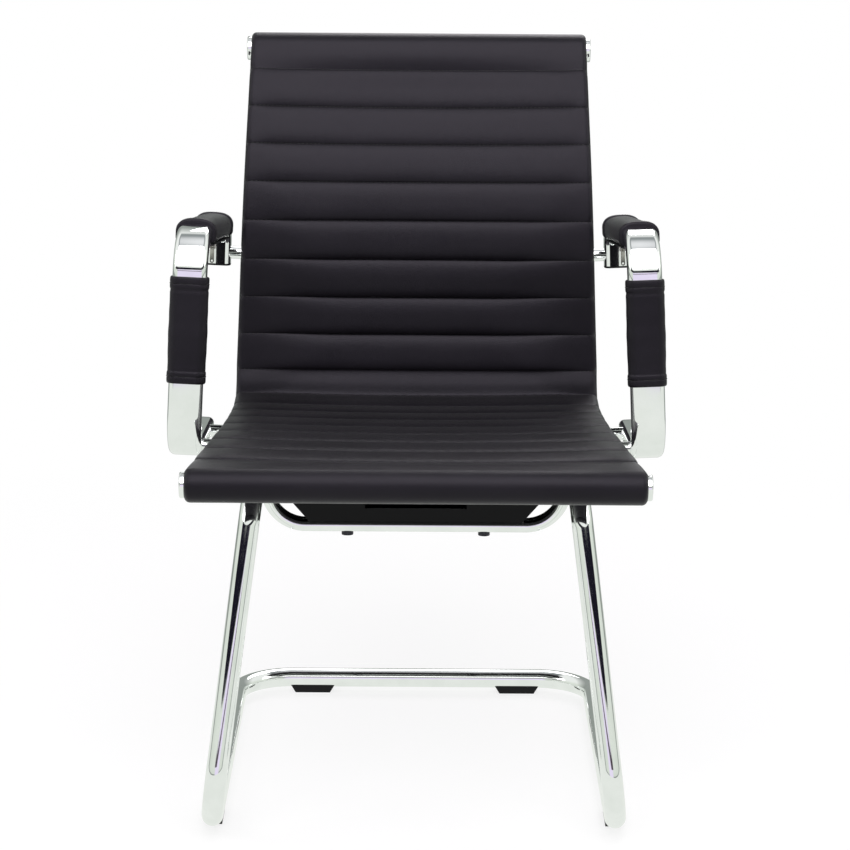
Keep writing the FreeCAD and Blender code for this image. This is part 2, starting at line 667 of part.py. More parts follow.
# Hidden frame: side rails of rectangular tube that follow the outline
half_depth = size("rail_depth") / 2
rail_out = footprint(size("side_wall") + size("soft_gap"))
rail_in = footprint(size("side_wall") + size("soft_gap") + size("rail_width"))
bore_out = footprint(size("side_wall") + size("soft_gap") + size("rail_wall"))
bore_in = footprint(size("side_wall") + size("soft_gap") + size("rail_width") - size("rail_wall"))
side_band = seat_line.band(0.0, end, -half_depth, half_depth, 2 * WIDE)
bore_half = half_depth - size("rail_wall")
bore_band = seat_line.band(0.0, end, -bore_half, bore_half, 2 * WIDE)
cross_solid = [cylinder(size("cross_tube_dia") / 2, 3 * WIDE, seat_line.at(t), V(1, 0, 0))
               for t in (0.0, end)]
left_half = Part.makeBox(FAR, 2 * FAR, FAR, V(-FAR, -FAR, 0))
rail_outer = side_band.common(rail_out).cut(rail_in).common(left_half)
rail_bore = bore_band.common(bore_out).cut(bore_in).common(left_half)
rail = rail_outer.cut(rail_bore).cut(Part.makeCompound(cross_solid))


# Arm: everything is drawn in the arm's own plane, then turned in and set beside the seat
low_z = size("seat_roll_height")
arm_turn = FreeCAD.Placement(
    V(-size("arm_offset"), DEPTH + size("arm_post_place"), 0),
    FreeCAD.Rotation(V(0, 0, 1), -size("arm_toe")),
).multiply(FreeCAD.Placement(
    V(0, 0, 0), FreeCAD.Rotation(V(0, 1, 0), size("arm_lean")), V(0, 0, low_z)
))


def beside(shape):
    """Set an arm piece beside the seat, on the left."""
    placed = shape.copy()
    placed.Placement = arm_turn.multiply(placed.Placement)
    return placed


top_z = low_z + size("arm_height")
rear_low_z = low_z + size("arm_rear_rise")
post_top_y = (top_z - low_z) * math.tan(math.radians(size("arm_post_lean")))
fall = math.tan(math.radians(size("arm_top_fall")))
rear_y = size("arm_rear_reach")
arm_corners = [
    V(0, size("arm_low_reach"), low_z),
    V(0, 0, low_z),
    V(0, post_top_y, top_z),
    V(0, rear_y, top_z - (rear_y - post_top_y) * fall),
    V(0, rear_y, rear_low_z),
]
arm_radii = [size("arm_low_bend"), size("arm_top_bend"), size("arm_rear_bend")]
arm_path = rounded_path(arm_corners, arm_radii)
arm_outer, arm_shape = tube(
    arm_path, size("arm_width"), size("arm_thick"), size("arm_wall"), V(1, 0, 0), size("arm_corner")
)

bolt_places = [
    V(0, size("arm_bolt_low_first"), low_z),
    V(0, size("arm_bolt_low_first") + size("arm_bolt_low_pitch"), low_z),
    V(0, rear_y, rear_low_z + size("arm_bolt_rear_rise")),
]
X = V(1, 0, 0)
half_arm = size("arm_width") / 2
shank_hole = size("arm_bolt_dia") / 2 + size("bolt_clear")
for place in bolt_places:
    arm_shape = arm_shape.cut(cylinder(shank_hole, half_arm, place + X * half_arm, X))
    arm_shape = arm_shape.cut(cylinder(size("arm_bolt_access") / 2, half_arm, place - X * half_arm, X))
both_sides("arm_tube", beside(arm_shape))

# Arm bolts: heads inside the tube on its inner wall, shanks through the spacer into the rail
inner_round = size("arm_corner") - size("arm_wall")
head_over = size("arm_bolt_head") / 2 + size("bolt_clear") - (size("arm_thick") / 2 - size("arm_corner"))
head_seat = half_arm - size("arm_corner") + math.sqrt(inner_round ** 2 - head_over ** 2)
rail_reach = half_arm - head_seat + size("arm_bolt_reach")
upper_bolts, lower_bolts, shank_cores = [], [], []
for place in bolt_places:
    head_middle = place + X * (head_seat - size("arm_bolt_head_height") / 2)
    head = cylinder(size("arm_bolt_head") / 2, size("arm_bolt_head_height"), head_middle, X)
    socket = Part.Face(Part.makePolygon([
        place + X * (head_seat - size("arm_bolt_head_height"))
        + V(0, 3.4 * math.cos(math.radians(60 * i)), 3.4 * math.sin(math.radians(60 * i)))
        for i in range(7)
    ])).extrude(X * (size("arm_bolt_head_height") * 0.6))
    shank_length = rail_reach
    shank = cylinder(size("arm_bolt_dia") / 2, shank_length, place + X * (head_seat + shank_length / 2), X)
    core = cylinder(shank_hole, shank_length, place + X * (head_seat + shank_length / 2), X)
    bolt = beside(head.cut(socket).fuse(shank))
    shank_cores.append(beside(core))
    (upper_bolts if place.z > low_z + 50 else lower_bolts).append(bolt)
both_sides("arm_bolt_upper", upper_bolts[0])
both_sides("arm_bolts_lower", Part.makeCompound(lower_bolts))

# Spacers between the arm tube and the leather edge of the seat and back
spacer_shapes = []
for place, core in zip(bolt_places, shank_cores):
    blank = beside(cylinder(size("spacer_dia") / 2, 60.0, place + X * (half_arm + 25.0), X))
    spacer = blank.cut(full).cut(beside(arm_outer)).cut(core)
    spacer_shapes.append(spacer)
low_spacers = Part.makeCompound(spacer_shapes[:2])
both_sides("arm_spacers_lower", low_spacers)
both_sides("arm_spacer_upper", spacer_shapes[2])

rail = rail.cut(Part.makeCompound(shank_cores))
both_sides("side_rail", rail)


# End plugs of the arm tube
def oval_plug(place, along):
    """Flat oval plug, head outside and shank inside."""
    direction = V(along).normalize()
    outline_out = flat_oval(
        size("arm_width"), size("arm_thick"), place, direction, X, size("arm_corner")
    )
    shrink = 2 * (size("arm_wall") + size("plug_fit"))
    outline_in = flat_oval(
        size("arm_width") - shrink, size("arm_thick") - shrink, place, direction, X,
        size("arm_corner") - shrink / 2,
    )
    head = Part.Face(outline_out).extrude(direction * size("arm_plug_head"))
    return head.fuse(Part.Face(outline_in).extrude(-direction * size("arm_plug_shank")))


both_sides("arm_plug_lower", beside(oval_plug(arm_corners[0], V(0, 1, 0))))
rear_plug = oval_plug(arm_corners[4], V(0, 0, -1))
rear_plug = rear_plug.cut(cylinder(size("arm_bolt_head") / 2 + 1, size("arm_width"), bolt_places[2], X))
both_sides("arm_plug_rear", beside(rear_plug))


# Leather sleeve on the post, with a turned hem at each end
def grown_oval(extra, place, along):
    width, thick = size("arm_width") + 2 * extra, size("arm_thick") + 2 * extra
    outline_grown = flat_oval(width, thick, place, V(along).normalize(), X, size("arm_corner") + extra)
    return Part.Face(outline_grown)


post_way = (arm_corners[2] - arm_corners[1]).normalize()
sleeve_start = arm_corners[1] + post_way * (size("sleeve_rise") / post_way.z)
soft = size("soft_gap")
wrap = soft + size("wrap_wall")
hem = wrap + size("hem_wall")
sleeve_body = grown_oval(wrap, sleeve_start, post_way).extrude(post_way * size("sleeve_length"))
far_hem = sleeve_start + post_way * (size("sleeve_length") - size("hem_height"))
for start in (sleeve_start, far_hem):
    sleeve_body = sleeve_body.fuse(grown_oval(hem, start, post_way).extrude(post_way * size("hem_height")))
inner_start = sleeve_start - post_way * 5
sleeve_hole = grown_oval(soft, inner_start, post_way).extrude(post_way * (size("sleeve_length") + 10))
both_sides("arm_sleeve", beside(sleeve_body.cut(sleeve_hole)))

# Arm pad on the top run: foam on top, wrapped in leather and closed by a zip underneath
top_way = (arm_corners[3] - arm_corners[2]).normalize()
top_up = X.cross(top_way).normalize()
pad_from = arm_corners[2] + top_way * size("pad_start")
pad_under = size("arm_thick") / 2 + wrap
rise = size("arm_thick") / 2 + soft + size("pad_foam")
half_pad = half_arm + soft + size("pad_side")


def pad_section(travel, grow):
    """Crowned section: flat below, round at the sides and gently domed on top."""
    centre = pad_from + top_way * travel
    side, high, low = half_pad + grow, rise + grow * 1.5, -pad_under - grow * 0.3
    shoulder = high * 0.45

    def at(x, z):
        return centre + X * x + top_up * z

    flat, bulge = side * size("pad_flat_share"), (side * 0.99, low + (shoulder - low) * 0.3)
    return Part.Wire([
        Part.makeLine(at(flat, low), at(-flat, low)),
        Part.Arc(at(-flat, low), at(-bulge[0], bulge[1]), at(-side, shoulder)).toShape(),
        Part.Arc(at(-side, shoulder), at(0, high), at(side, shoulder)).toShape(),
        Part.Arc(at(side, shoulder), at(*bulge), at(flat, low)).toShape(),
    ])


length = size("pad_length")
stations = [(0.0, -1.2), (0.12, 0.2), (0.5, 1.0), (0.88, 0.2), (1.0, -1.2)]
pad_body = Part.makeLoft([pad_section(length * share, grow) for share, grow in stations], True, False)
pad_hole = grown_oval(soft, pad_from - top_way * 10, top_way).extrude(top_way * (length + 20))
pad_floor = -pad_under + 0.05
trim = Part.makeBox(200, length + 60, 60, V(-100, -30, -60))
trim.Placement = FreeCAD.Placement(
    pad_from + top_up * pad_floor, FreeCAD.Rotation(X, -size("arm_top_fall"))
).multiply(trim.Placement)
pad_body = pad_body.cut(pad_hole).cut(trim)
both_sides("arm_pad", beside(pad_body))


# Zip: chain under the pad, slider on the chain, pull hanging from the slider
def slab(x_half, start, reach, low, high):
    """Block in the pad's own directions: across, along the run, and square to it."""
    base = pad_from + top_way * start + X * size("zip_offset")
    points = [base + X * (sx * x_half) + top_up * low for sx in (-1, 1)]
    face = Part.Face(Part.makePolygon([
        points[0], points[1], points[1] + top_way * reach, points[0] + top_way * reach, points[0]
    ]))
    return face.extrude(top_up * (high - low))


zip_from, zip_reach = size("zip_inset"), length - 2 * size("zip_inset")
zip_low = pad_floor - size("zip_thick")
chain = slab(size("zip_width") / 2, zip_from, zip_reach, zip_low, pad_floor)
stop_reach = 3.0
for start in (zip_from - stop_reach, zip_from + zip_reach):
    chain = chain.fuse(slab(size("zip_width") / 2, start, stop_reach, zip_low - 0.6, pad_floor))
both_sides("zip_chain", beside(chain))

gap, wall = size("slider_gap"), size("slider_wall")
slider_from = zip_from + 1.0
slider_half = size("zip_width") / 2 + gap + wall
slider_low = zip_low - gap - wall
slider = slab(slider_half, slider_from, size("slider_length"), slider_low, pad_floor - gap)
groove = slab(size("zip_width") / 2 + gap, slider_from - 1, size("slider_length") + 2, zip_low - gap, pad_floor)
slider = slider.cut(groove)
ear_wall, ear_drop = size("slider_ear_wall"), size("slider_ear_drop")
pin_radius = size("pull_pin_dia") / 2
ear_in = size("pull_width") / 2 + 0.3
ear_mid = slider_from + size("slider_length") / 2
pin_place = pad_from + X * size("zip_offset") + top_way * ear_mid
pin_place += top_up * (slider_low - ear_drop + 1.0)
for side in (-1, 1):
    ear = slab(ear_wall / 2, ear_mid - 1.5, 3.0, slider_low - ear_drop, slider_low)
    ear.translate(X * (side * (ear_in + ear_wall / 2)))
    slider = slider.fuse(ear)
slider = slider.fuse(cylinder(pin_radius, 2 * ear_in + ear_wall, pin_place, X))
both_sides("zip_slider", beside(slider))

# The pull is a flat tag with an eye at the top and a ring at the foot
pull_half = size("pull_width") / 2
eye = size("pull_eye")
tag_top = pin_place + V(0, 0, eye)
tag = Part.makeBox(
    size("pull_width"), size("pull_thick"), size("pull_length"),
    tag_top + V(-pull_half, -size("pull_thick") / 2, -size("pull_length")),
)
tag = tag.fuse(cylinder(eye, size("pull_width"), pin_place, X))
ring_centre = tag_top + V(0, 0, -size("pull_length"))
tag = tag.fuse(cylinder(pull_half, size("pull_thick"), ring_centre, V(0, 1, 0)))
tag = tag.cut(cylinder(pull_half * 0.55, size("pull_thick") * 2, ring_centre, V(0, 1, 0)))
tag = tag.cut(cylinder(pin_radius + size("pull_pin_gap"), 20, pin_place, X))
both_sides("zip_pull", beside(tag))

# Stretchers: flattened tube hung between the under-seat rails
drop_end = half_hanger - 2.0
half_flat = size("stretcher_flat") / 2
stretcher_y = {
    "front": DEPTH + size("stretcher_front"),
    "rear": DEPTH + size("stretcher_front") + size("stretcher_pitch"),
}
half_bolt = size("bolt_spacing") / 2
z_up = V(0, 0, 1)
stretcher_z = hanger_z - size("stretcher_drop")
flat_top = stretcher_z + size("stretcher_thick") / 2
flat_bottom = stretcher_z - size("stretcher_thick") / 2
sheet_thick = size("bracket_sheet")
all_bolts, all_nuts, all_screws, screw_ways = [], [], [], []
plates = {}
for where, y in stretcher_y.items():
    ends = [
        V(-drop_end, y, hanger_z),
        V(-half_flat, y, stretcher_z),
        V(half_flat, y, stretcher_z),
        V(drop_end, y, hanger_z),
    ]
    bends = [size("stretcher_bend")] * 2
    _, hollow_bar = tube(
        rounded_path(ends, bends), size("stretcher_width"), size("stretcher_thick"),
        size("stretcher_wall"), V(0, 1, 0), size("stretcher_thick") / 2,
    )
    pieces = hollow_bar.cut(sled_outer).Solids
    bar = max(pieces, key=lambda solid: solid.Volume)
    hole = size("bolt_dia") / 2 + size("bolt_clear")

    # bracket: folded channel from the stretcher up to the underside of the seat
    half_web = size("bracket_web") / 2
    reach = half_web + size("bracket_flange")
    under_points = []
    for side in (-1, 1):
        travel = seat_line.travel_at(y + side * reach)
        under_points.append(seat_line.at(travel, -rear_skin))
    slope = (under_points[1].z - under_points[0].z) / (under_points[1].y - under_points[0].y)

    def seat_under(offset):
        return under_points[0].z + slope * (y + offset - under_points[0].y) - 0.02

    upper = [(-reach, seat_under(-reach)), (-half_web + sheet_thick, seat_under(-half_web + sheet_thick)),
             (-half_web + sheet_thick, flat_top + sheet_thick), (half_web - sheet_thick, flat_top + sheet_thick),
             (half_web - sheet_thick, seat_under(half_web - sheet_thick)), (reach, seat_under(reach))]
    lower = [(reach, seat_under(reach) - sheet_thick), (half_web, seat_under(half_web) - sheet_thick), (half_web, flat_top),
             (-half_web, flat_top), (-half_web, seat_under(-half_web) - sheet_thick),
             (-reach, seat_under(-reach) - sheet_thick)]
    section = [V(0, y + dy, z) for dy, z in upper + lower]
    half_bracket = size("bracket_length") / 2
    bracket = Part.Face(Part.makePolygon(section + section[:1])).extrude(X * (2 * half_bracket))
    bracket.translate(X * -half_bracket)
    window_low = flat_top + size("bracket_margin")
    window_high = seat_under(0) - size("bracket_margin")
    window = Part.makeBox(
        size("bracket_notch"), 2 * reach, window_high - window_low,
        V(-size("bracket_notch") / 2, y - reach, window_low),
    )
    bracket = bracket.cut(window)
    for side in (-1, 1):
        corner = [(size("bracket_foot") / 2, flat_top - 1), (half_bracket + 1, flat_top - 1),
                  (half_bracket + 1, flat_top + size("bracket_corner"))]
        face = Part.Face(Part.makePolygon([V(side * x, y - reach, z) for x, z in corner + corner[:1]]))
        bracket = bracket.cut(face.extrude(V(0, 2 * reach, 0)))

    for side in (-1, 1):
        place = V(side * half_bolt, y, 0)
        drill = Part.makeCylinder(hole, 200, place + z_up * (flat_bottom - 50), z_up)
        bar = bar.cut(drill)
        bracket = bracket.cut(drill)
        head = Part.makeCylinder(
            size("bolt_head_dia") / 2, size("bolt_head_height"),
            place + z_up * (flat_bottom - size("bolt_head_height")), z_up,
        )
        nut_top = flat_top + sheet_thick + size("nut_height")
        shank = Part.makeCylinder(size("bolt_dia") / 2, nut_top + 2 - flat_bottom, place + z_up * flat_bottom, z_up)
        all_bolts.append(head.fuse(shank))
        radius = size("nut_across") / 2 / math.cos(math.radians(30))
        corners = [
            place + z_up * (flat_top + sheet_thick)
            + V(radius * math.cos(math.radians(60 * i)), radius * math.sin(math.radians(60 * i)), 0)
            for i in range(7)
        ]
        nut = Part.Face(Part.makePolygon(corners)).extrude(z_up * size("nut_height"))
        all_nuts.append(nut.cut(Part.makeCylinder(size("bolt_dia") / 2, 60, place + z_up * flat_top, z_up)))

    # plate: steel strip inside the seat, welded between the side rails
    travel = seat_line.travel_at(y)
    plate_low, plate_high = -half_depth, -half_depth + size("seat_plate_thick")
    plate = seat_line.band(
        travel - size("seat_plate_width") / 2, travel + size("seat_plate_width") / 2,
        plate_low, plate_high, WIDE,
    ).common(rail_in)
    square = seat_line.at(travel, 1.0) - seat_line.at(travel, 0.0)
    for sx in (-1, 1):
        for sy in (-1, 1):
            offset = sy * (half_web + size("bracket_flange") / 2)
            foot = V(sx * size("screw_spacing") / 2, y + offset, seat_under(offset) - sheet_thick)
            grip = sheet_thick + (rear_skin - half_depth) + size("seat_plate_thick") + 3.0
            head = Part.makeCylinder(size("screw_head_dia") / 2, size("screw_head_height"), foot, -square)
            shank = Part.makeCylinder(size("screw_dia") / 2, grip, foot, square)
            way = Part.makeCylinder(size("screw_dia") / 2 + 0.3, grip + 2, foot - square, square)
            tapped = Part.makeCylinder(size("screw_dia") / 2, grip + 2, foot - square, square)
            bracket = bracket.cut(way)
            plate = plate.cut(tapped)
            screw_ways.append(way)
            all_screws.append(head.fuse(shank))
    plates[where] = plate
    feature("stretcher_" + where, bar)
    feature("seat_bracket_" + where, bracket)
    feature("seat_plate_" + where, plate)
feature("stretcher_bolts", Part.makeCompound(all_bolts))
feature("stretcher_nuts", Part.makeCompound(all_nuts))
feature("seat_screws", Part.makeCompound(all_screws))

# Bar across the back, level with the upper arm bolts
bolt_point = beside(Part.Vertex(bolt_places[2])).Point
travel = seat_line.legs[4][0]
while seat_line.at(travel).z < bolt_point.z:
    travel += 0.5
half_bar = size("back_bar_depth") / 2
bar_rear = -size("back_bar_rear")
bar_front = bar_rear + size("back_bar_thick")
back_bar = seat_line.band(travel - half_bar, travel + half_bar, bar_rear, bar_front, WIDE).common(rail_in)
feature("back_bar", back_bar)

# Core: elastic webbing and foam between the rails
core_gap = size("soft_gap")
core_low, core_high = -half_depth - core_gap, size("skin_front_inner") - core_gap
keep_off = roll + core_gap
core = seat_line.band(0.0, end, core_low, core_high, 2 * WIDE)
core = core.common(footprint(size("side_wall") + 2 * size("soft_gap") + size("rail_width")))
blocked = [cylinder(tube_clear, 3 * WIDE, seat_line.at(t), X) for t in (0.0, end)]
for where, y in stretcher_y.items():
    place = seat_line.travel_at(y)
    room = size("seat_plate_width") / 2 + core_gap
    blocked.append(seat_line.band(place - room, place + room, -2 * roll,
                                  -half_depth + size("seat_plate_thick") + core_gap, 2 * WIDE))
room = half_bar + core_gap
blocked.append(seat_line.band(travel - room, travel + room, -2 * roll, bar_front + core_gap, 2 * WIDE))
core = core.cut(Part.makeCompound(blocked))
for way in screw_ways:
    core = core.cut(way)
feature("webbing_core", core)

# Rear cover: thin leather over the back and underside, turned up over the rails' outer sides
rear_in = size("skin_rear_inner")
shell = seat_line.band(0.0, end, -rear_skin, size("skin_front_inner") - core_gap, 2 * WIDE).common(full)
filling = seat_line.band(0.0, end, -rear_in, size("skin_front_inner") - core_gap, 2 * WIDE)
filling = filling.common(footprint(size("side_wall")))
rear_cover = shell.cut(filling)
roll_clear = [cylinder(roll + 0.05, 3 * WIDE, seat_line.at(t), X) for t in (0.0, end)]
rear_cover = rear_cover.cut(Part.makeCompound(roll_clear))
rear_cover = rear_cover.cut(Part.makeCompound(screw_ways))
rear_cover = rear_cover.cut(Part.makeCompound(shank_cores + [mirrored(core) for core in shank_cores]))
feature("rear_cover", rear_cover)

doc.recompute()

# Every object has to have computed, and every sub-part has to be whole, before any is written
failed = [item.Name for item in doc.Objects if "Invalid" in item.State or "Error" in item.State]
if failed:
    raise RuntimeError("not computed: " + ", ".join(failed))
helpers = {"front_cross_outer", "front_cross_inner", "top_cross_outer", "top_cross_inner"}
kinds = ("Part::Feature", "PartDesign::Body", "Part::Cut")
nodes = [item for item in doc.Objects if item.TypeId in kinds and item.Name not in helpers]
for item in nodes:
    if item.Shape.isNull() or not item.Shape.isValid() or not item.Shape.Solids:
        raise RuntimeError("no whole shape: " + item.Label)
os.makedirs("parts", exist_ok=True)
for item in nodes:
    item.Shape.exportStep("parts/%s.step" % item.Label)
box = Part.makeCompound([item.Shape for item in nodes]).BoundBox
print("%d sub-parts, %.1f x %.1f x %.1f mm" % (len(nodes), box.XLength, box.YLength, box.ZLength))
print("low %.2f %.2f %.2f high %.2f %.2f %.2f" % (
    box.XMin, box.YMin, box.ZMin, box.XMax, box.YMax, box.ZMax))
print("pin", beside(Part.Vertex(pin_place)).Point, "way", arm_turn.Rotation.multVec(top_way))
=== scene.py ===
import math

import bpy
import numpy as np
from mathutils import Matrix


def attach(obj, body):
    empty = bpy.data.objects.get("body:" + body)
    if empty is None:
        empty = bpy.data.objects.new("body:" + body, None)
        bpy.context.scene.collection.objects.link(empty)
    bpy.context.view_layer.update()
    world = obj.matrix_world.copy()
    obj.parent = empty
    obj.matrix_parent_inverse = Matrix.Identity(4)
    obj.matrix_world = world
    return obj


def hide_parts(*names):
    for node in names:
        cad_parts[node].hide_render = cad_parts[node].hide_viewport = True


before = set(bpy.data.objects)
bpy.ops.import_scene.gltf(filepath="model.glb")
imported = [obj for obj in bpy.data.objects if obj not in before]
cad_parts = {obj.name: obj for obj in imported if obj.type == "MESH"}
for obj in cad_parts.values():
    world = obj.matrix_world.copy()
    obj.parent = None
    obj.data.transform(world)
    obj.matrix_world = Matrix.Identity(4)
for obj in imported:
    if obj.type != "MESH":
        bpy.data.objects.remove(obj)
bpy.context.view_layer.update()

# View: a long lens in front of the chair, a third of a metre above its top and looking 13
# degrees down, as in the photograph, with the chair a few pixels left of the middle.
focal_length, sensor_width = 120.7, 36.0
view_spot = (0.0, -3.3787, 1.215)
view_turn, view_down, view_roll = -0.177, 13.02, 0.42
lens = bpy.data.cameras.new("view")
lens.lens = focal_length
lens.sensor_width = sensor_width
camera = bpy.data.objects.new("view", lens)
turned = Matrix.Rotation(math.radians(view_turn), 4, "Z")
tilted = Matrix.Rotation(math.radians(90 - view_down), 4, "X")
rolled = Matrix.Rotation(math.radians(view_roll), 4, "Z")
camera.matrix_world = Matrix.Translation(view_spot) @ turned @ tilted @ rolled
bpy.context.scene.collection.objects.link(camera)
bpy.context.scene.camera = camera
bpy.context.scene.view_settings.view_transform = "Standard"


def linear(code):
    """Scene-linear colour of an sRGB hex code: c / 12.92 for a part c up to 0.04045, and
    ((c + 0.055) / 1.055) ** 2.4 above it."""
    parts = [int(code[i:i + 2], 16) / 255 for i in (1, 3, 5)]
    return [c / 12.92 if c <= 0.04045 else ((c + 0.055) / 1.055) ** 2.4 for c in parts] + [1.0]


def feed(tree, made, inputs):
    """Give the inputs of a node their values, or links from other nodes' outputs."""
    for socket, value in inputs.items():
        if isinstance(value, bpy.types.NodeSocket):
            tree.links.new(value, made.inputs[socket])
        else:
            made.inputs[socket].default_value = value


def node(tree, kind, inputs=(), stops=(), **settings):
    """One node: settings are its own options, inputs pair a socket with a value or another node's
    output, and stops are the (position, hex colour) pairs of a colour band."""
    made = tree.nodes.new(kind)
    for name, value in settings.items():
        setattr(made, name, value)
    feed(tree, made, dict(inputs))
    if stops:
        band = made.color_ramp
        while len(band.elements) < len(stops):
            band.elements.new(0.5)
        for element, (place, code) in zip(band.elements, stops):
            element.position = place
            element.color = linear(code)
    return made


# Studio: a white cove under one large softbox hung high in front, with weaker lamps at the
# sides and behind. Bare metal sees pale grey-green walls that brighten towards the ceiling.
world = bpy.data.worlds.new("white_studio")
bpy.context.scene.world = world
world.use_nodes = True
room = world.node_tree
room.nodes.clear()
way = node(room, "ShaderNodeTexCoord").outputs["Generated"]
toward = node(room, "ShaderNodeSeparateXYZ", {0: way}).outputs
level = node(room, "ShaderNodeMapRange", {0: toward["Z"], 1: -1.0, 2: 1.0}).outputs[0]
walls = node(room, "ShaderNodeValToRGB", {0: level}, [
    (0.00, "#f0f2ef"), (0.44, "#eef1ed"), (0.488, "#dfe3dd"), (0.497, "#8b908c"),
    (0.507, "#7b807d"), (0.52, "#dde3da"), (0.62, "#e6ebe3"), (0.72, "#f6f8f5"),
    (0.93, "#f8f9f8"), (0.955, "#8d9293"), (0.975, "#9b9fa1"), (1.0, "#f2f2f5"),
]).outputs[0]
# The unlit end of the room behind the chair draws a fine grey line along the edges of a tube.
behind = node(room, "ShaderNodeMapRange", {0: toward["Y"], 1: 0.45, 2: 0.85, 4: 0.9}).outputs[0]
seen = node(room, "ShaderNodeMix", {0: behind, 6: walls, 7: linear("#8b918d")}, data_type="RGBA").outputs[2]
# The cove is open behind the camera. How far a direction leans across it is |x| / |y|, and the
# opening's sill drops towards the sides, as 0.292 - 0.048 |x| / |y|, but not below 0.243.
front = node(room, "ShaderNodeMapRange", {0: toward["Y"], 1: -0.2, 2: -0.4}).outputs[0]
lean_x = node(room, "ShaderNodeMath", {0: toward["X"]}, operation="ABSOLUTE").outputs[0]
depth = node(room, "ShaderNodeMath", {0: toward["Y"]}, operation="ABSOLUTE").outputs[0]
across = node(room, "ShaderNodeMath", {0: lean_x, 1: depth}, operation="DIVIDE").outputs[0]
sill = node(room, "ShaderNodeMath", {0: across, 1: -0.048, 2: 0.292}, operation="MULTIPLY_ADD").outputs[0]
sill = node(room, "ShaderNodeMath", {0: sill, 1: 0.243}, operation="MAXIMUM").outputs[0]
over = node(room, "ShaderNodeMath", {0: toward["Z"], 1: sill}, operation="SUBTRACT").outputs[0]
# In it are a narrow violet-white glow from a small lamp, a low dark stand, and the dark opening
# itself over the sill. Each fades in between two limits of every value that bounds it.
for tone, limits in (
        ("#f1e6ff", ((across, 0.42, 0.26), (toward["Z"], -0.06, 0.0), (toward["Z"], 0.286, 0.278))),
        ("#4a4048", ((across, 0.50, 0.42), (toward["Z"], 0.218, 0.226), (toward["Z"], 0.246, 0.240))),
        ("#1b1924", ((across, 2.6, 2.2), (over, 0.0, 0.005), (toward["Z"], 0.372, 0.360)))):
    share = front
    for value, none, full in limits:
        inside = node(room, "ShaderNodeMapRange", {0: value, 1: none, 2: full}).outputs[0]
        share = node(room, "ShaderNodeMath", {0: share, 1: inside}, operation="MULTIPLY").outputs[0]
    seen = node(room, "ShaderNodeMix", {0: share, 6: seen, 7: linear(tone)}, data_type="RGBA").outputs[2]
rays = node(room, "ShaderNodeLightPath").outputs
soft_light = node(room, "ShaderNodeBackground", {"Color": linear("#f4f3f6"), "Strength": 0.36})
reflected = node(room, "ShaderNodeBackground", {"Color": seen, "Strength": 1.0})
white = node(room, "ShaderNodeBackground", {"Color": linear("#ffffff"), "Strength": 1.0})
lit = node(room, "ShaderNodeMixShader",
           {0: rays["Is Glossy Ray"], 1: soft_light.outputs[0], 2: reflected.outputs[0]})
surround = node(room, "ShaderNodeMixShader",
                {0: rays["Is Camera Ray"], 1: lit.outputs[0], 2: white.outputs[0]})
node(room, "ShaderNodeOutputWorld", {"Surface": surround.outputs[0]})

# Each lamp: its name, where it hangs, where it points, its size in metres and its power.
for name, place, aim, width, power in (
        ("front_softbox", (0.0, -1.75, 2.75), (0.0, 0.0, 0.5), 2.6, 58.0),
        ("left_lamp", (-2.3, -0.9, 1.9), (0.0, 0.0, 0.5), 1.2, 13.0),
        ("right_lamp", (2.3, -0.6, 1.8), (0.0, 0.0, 0.5), 1.2, 10.0),
        ("back_lamp", (0.4, 2.3, 2.5), (0.0, 0.0, 0.4), 1.6, 30.0)):
    lamp = bpy.data.lights.new(name, "AREA")
    lamp.size = width
    lamp.energy = power
    lamp.color = linear("#fffcff")[:3]
    holder = bpy.data.objects.new(name, lamp)
    away = np.array(place) - np.array(aim)
    holder.location = place
    holder.rotation_euler = (math.atan2(np.hypot(away[0], away[1]), away[2]), 0.0,
                             math.atan2(away[0], -away[1]))
    bpy.context.scene.collection.objects.link(holder)

# Floor: the cove's floor, painted white. It keeps the chair's soft shadow and fades into the
# white of the studio; bare metal sees it glow as pale as the walls, with painted shade making
# it greyer at the far end, where the room is unlit.
floor_width = 60.0
bpy.ops.mesh.primitive_plane_add(size=floor_width, location=(0.0, 0.0, 0.0))
floor = bpy.context.object
floor.name = "studio_floor"
floor_white = bpy.data.materials.new("painted_white_floor")
floor_white.use_nodes = True
tree = floor_white.node_tree
tree.nodes.clear()
paint = node(tree, "ShaderNodeBsdfDiffuse", {"Color": linear("#cfcfcf")})
paint_seen = node(tree, "ShaderNodeBsdfDiffuse", {"Color": linear("#8c8c8c")})
fill = node(tree, "ShaderNodeEmission", {"Color": linear("#ffffff"), "Strength": 0.77})
lifted = node(tree, "ShaderNodeAddShader", {0: paint_seen.outputs[0], 1: fill.outputs[0]})
spot = node(tree, "ShaderNodeTexCoord").outputs["Object"]
away = node(tree, "ShaderNodeVectorMath", {0: spot}, operation="LENGTH").outputs["Value"]
far = node(tree, "ShaderNodeMapRange", {0: away, 1: 0.9, 2: 1.7}).outputs[0]
plain = node(tree, "ShaderNodeEmission", {"Color": linear("#ffffff"), "Strength": 1.0})
lifted = node(tree, "ShaderNodeMixShader", {0: far, 1: lifted.outputs[0], 2: plain.outputs[0]})
place = node(tree, "ShaderNodeSeparateXYZ", {0: spot}).outputs["Y"]
# Painted shade: in reflections the floor's far end glows greyer, like the unlit end of the room.
far_end_shade = node(tree, "ShaderNodeMapRange", {0: place, 1: 0.5, 2: 1.6}).outputs[0]
cove = node(tree, "ShaderNodeMix", {0: far_end_shade, 6: linear("#eef1ec"), 7: linear("#939994")},
            data_type="RGBA").outputs[2]
mirrored = node(tree, "ShaderNodeEmission", {"Color": cove, "Strength": 1.0})
rays = node(tree, "ShaderNodeLightPath").outputs
lit = node(tree, "ShaderNodeMixShader",
           {0: rays["Is Glossy Ray"], 1: paint.outputs[0], 2: mirrored.outputs[0]})
